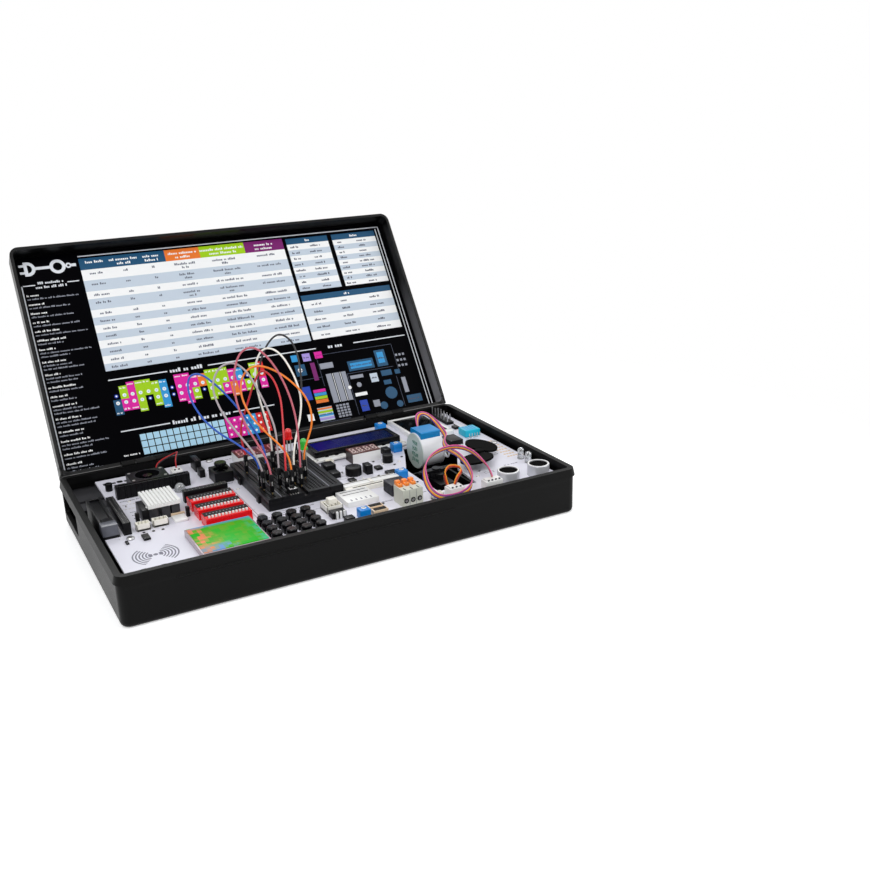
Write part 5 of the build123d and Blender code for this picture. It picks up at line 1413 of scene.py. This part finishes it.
def print_small_tables(p):
    """Three tables with a dark head; the shares say where their columns part."""
    head = 5.4
    for x0, x1, y0, y1, rows, shares in ((228, 267, 125, 175, 8, (0.33,)), (271, 313, 125, 175, 9, (0.3,)),
                                         (227, 312, 80, 121, 5, (0.3, 0.6))):
        p.patch(x0, x1, y0, y1 - head, "white")
        p.patch(x0, x1, y1 - head, y1, "teal", 2)
        p.middle_text((x0 + x1) / 2, 10, y1 - 3.6, 2.0, "white", 4)
        height = (y1 - head - y0) / rows
        edges = [x0, *[x0 + (x1 - x0) * share for share in shares], x1]
        for i in range(rows):
            y = y0 + height * i
            if i % 2 == rows % 2:
                p.patch(x0, x1, y, y + height, "row", 2)
            for a, c in zip(edges, edges[1:]):
                p.middle_text((a + c) / 2, min(c - a, 20) * 0.9, y + height / 2 - 0.9, 1.8, "ink")


def print_rules(p):
    """Line round the print and the two lines that carry headings."""
    p.patch(54, 318.5, 177.6, 178.5, "rule")
    for x, top in ((314.6, 176.4), (317.6, 178.5)):
        p.patch(x, x + 0.9, 6, top, "rule")
    for y, spans, words in ((72, ((54, 100), (133, 227), (262, 312)), ((102, 131), (238, 252))),
                            (29.6, ((54, 92), (143, 178)), ((94, 141),))):
        for x0, x1 in spans:
            p.patch(x0, x1, y - 0.45, y + 0.45, "rule")
        for x0, x1 in words:
            p.text(x0, x1, y - 1.5, 3.2, "rule")


def print_signal_map(p):
    """Two rows of pins with their coloured names above and below."""
    middle, pitch = 55.3, 6.2
    for i, letters in enumerate(zip(UPPER, LOWER)):
        x = 54 + i * pitch
        ends = 66.0 + 2.4 * (i % 5 > 1), 45.4 - 2.6 * (i % 3 == 0)
        for letter, pin, end, words in zip(letters, (58.2, 52.4), ends, (ends[0] - 2.4, ends[1] + 1.0)):
            ink = FIRST_LETTERS.get(letter)
            if ink:
                p.patch(x, x + 6.15, min(middle, end), max(middle, end), ink)
                p.text(x + 0.6, x + 5.6, words, 1.4, "white")
            p.disc(x + 3.1, pin, 1.5, "white" if ink else "navy", 4, 12)
            p.disc(x + 3.1, pin, 0.75, "ice" if ink else "white", 5, 10)


def print_cells(p):
    """Three rows of pale cells, with larger coloured ones at the end."""
    for i, ink in enumerate(CELLS):
        for k in range(3):
            x, y = 67 + i * 5.2, 8.5 + k * 5.7
            wide, tall = (4.5, 5.0) if ink == "ice" else (5.0, 5.5)
            p.patch(x, x + wide, y, y + tall, ink)
            if ink != "ice":
                p.disc(x + 2.5, y + 2.8, 1.0, "white", 3, 10)
    p.text(52, 65, 9.6, 1.7, "white")


def print_plan(p):
    """Plan of the board's blocks; a patch inside an earlier one lies on the second layer."""
    for i, (x0, x1, y0, y1, ink) in enumerate(PLAN):
        inside = any(a <= x0 and x1 <= c and d <= y0 and y1 <= e for a, c, d, e, _ in PLAN[:i])
        p.patch(x0, x1, y0, y1, ink, 2 if inside else 1)
        if y1 - y0 > 6 and x1 - x0 > 5:
            p.text(x0 + 1, x1 - 1, (y0 + y1) / 2 - 0.7, 1.3, "ink")
    for x, y, r, ink in PLAN_DISCS:
        p.disc(x, y, r, ink, 2, 24)
    for i in range(20):
        x, y = 230 + (i % 4) * 3.1, 8.6 + (i // 4) * 2.4
        p.patch(x, x + 2.3, y, y + 1.7, "grey")
    for i in range(9):
        x, y = 297 + (i % 3) * 3.4, 44 + (i // 3) * 5
        p.patch(x, x + 2, y, y + 2, "grey")
    for x0, x1, y in ((225, 296, 65.5), (200, 226, 46), (248, 292, 45), (214, 240, 6.4)):
        p.patch(x0, x1, y, y + 0.4, "ink")
    for x, y0, y1 in ((296, 40, 65.5), (225, 38, 65), (248, 8, 45), (292, 8, 36)):
        p.patch(x, x + 0.4, y0, y1, "ink")


def make_lid_print():
    p = Printing(random.Random(21))
    for part in (print_gates, print_left_column, print_wide_table, print_small_tables, print_rules,
                 print_signal_map, print_cells, print_plan):
        part(p)
    p.done("lid_print", body="lid", place=LID, slot="print_panel")


def make_lid_corners():
    """Squarer corners of the lid next to the hinge."""
    b = Making()
    side, foot, wall, reach, low, soft = LID_SIDE, 0.25, 2.4, 8.0, -1.6, 0.5
    corner = ((side, side + wall, foot, foot + reach, low, PANEL_DEPTH, soft),
              (side, side + reach, foot, foot + wall, low, PANEL_DEPTH, soft),
              (side + 0.5, side + reach, foot + 0.5, foot + reach, low - 1.0, low + 0.7, soft + 0.1))
    for flip in (False, True):
        for x0, x1, y0, y1, z0, z1, softness in corner:
            if flip:
                x0, x1 = CASE_W - x1, CASE_W - x0
            b.box(x0, x1, y0, y1, z0, z1, lid_black, softness)
    b.done("lid_corners", body="lid", place=LID, slot="black_shell")


make_lid_print()
make_lid_corners()

# ---------------------------------------------------------------- finishes of the CAD nodes
RIB_TOPS = [((0, 0, 1), 37.25, rgb(240, 240, 238))]
ribs_black = colour_finish("heatsink", (46, 46, 50), 0.4, zones=RIB_TOPS)
DRESSED = (
    (case_black, ["case_base"]), (lid_black, ["case_lid"]), (panel_black, ["lid_panel"]),
    (steel, ["hinge_pins"]), (screw_steel, ["board_screws"]), (dip_red, ["dip_bodies"]),
    (part_white, [f"dip_levers_{i}" for i in (1, 2, 3)]), (ribs_black, ["heatsink_block"]),
    (part_black, ["card_slot", "cooler_housing", "key_switches", "joystick_base", "joystick_gimbal",
                  "servo_body", "servo_horn", "fan_motor"]),
    (gloss_black, ["cooler_fan", "joystick_stick", *[f"key_cap_{i:02d}" for i in range(1, 17)]]),
    (terminal_green, ["terminal_block"]), (can_silver, ["ultrasonic_sensor"]), (motor_white, ["stepper_can"]),
    (brass, ["stepper_shaft"]), (cap_blue, ["stepper_cap"]))


def dress():
    for material, names in DRESSED:
        for name in names:
            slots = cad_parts[name].data.materials
            slots.clear()
            slots.append(material)


dress()
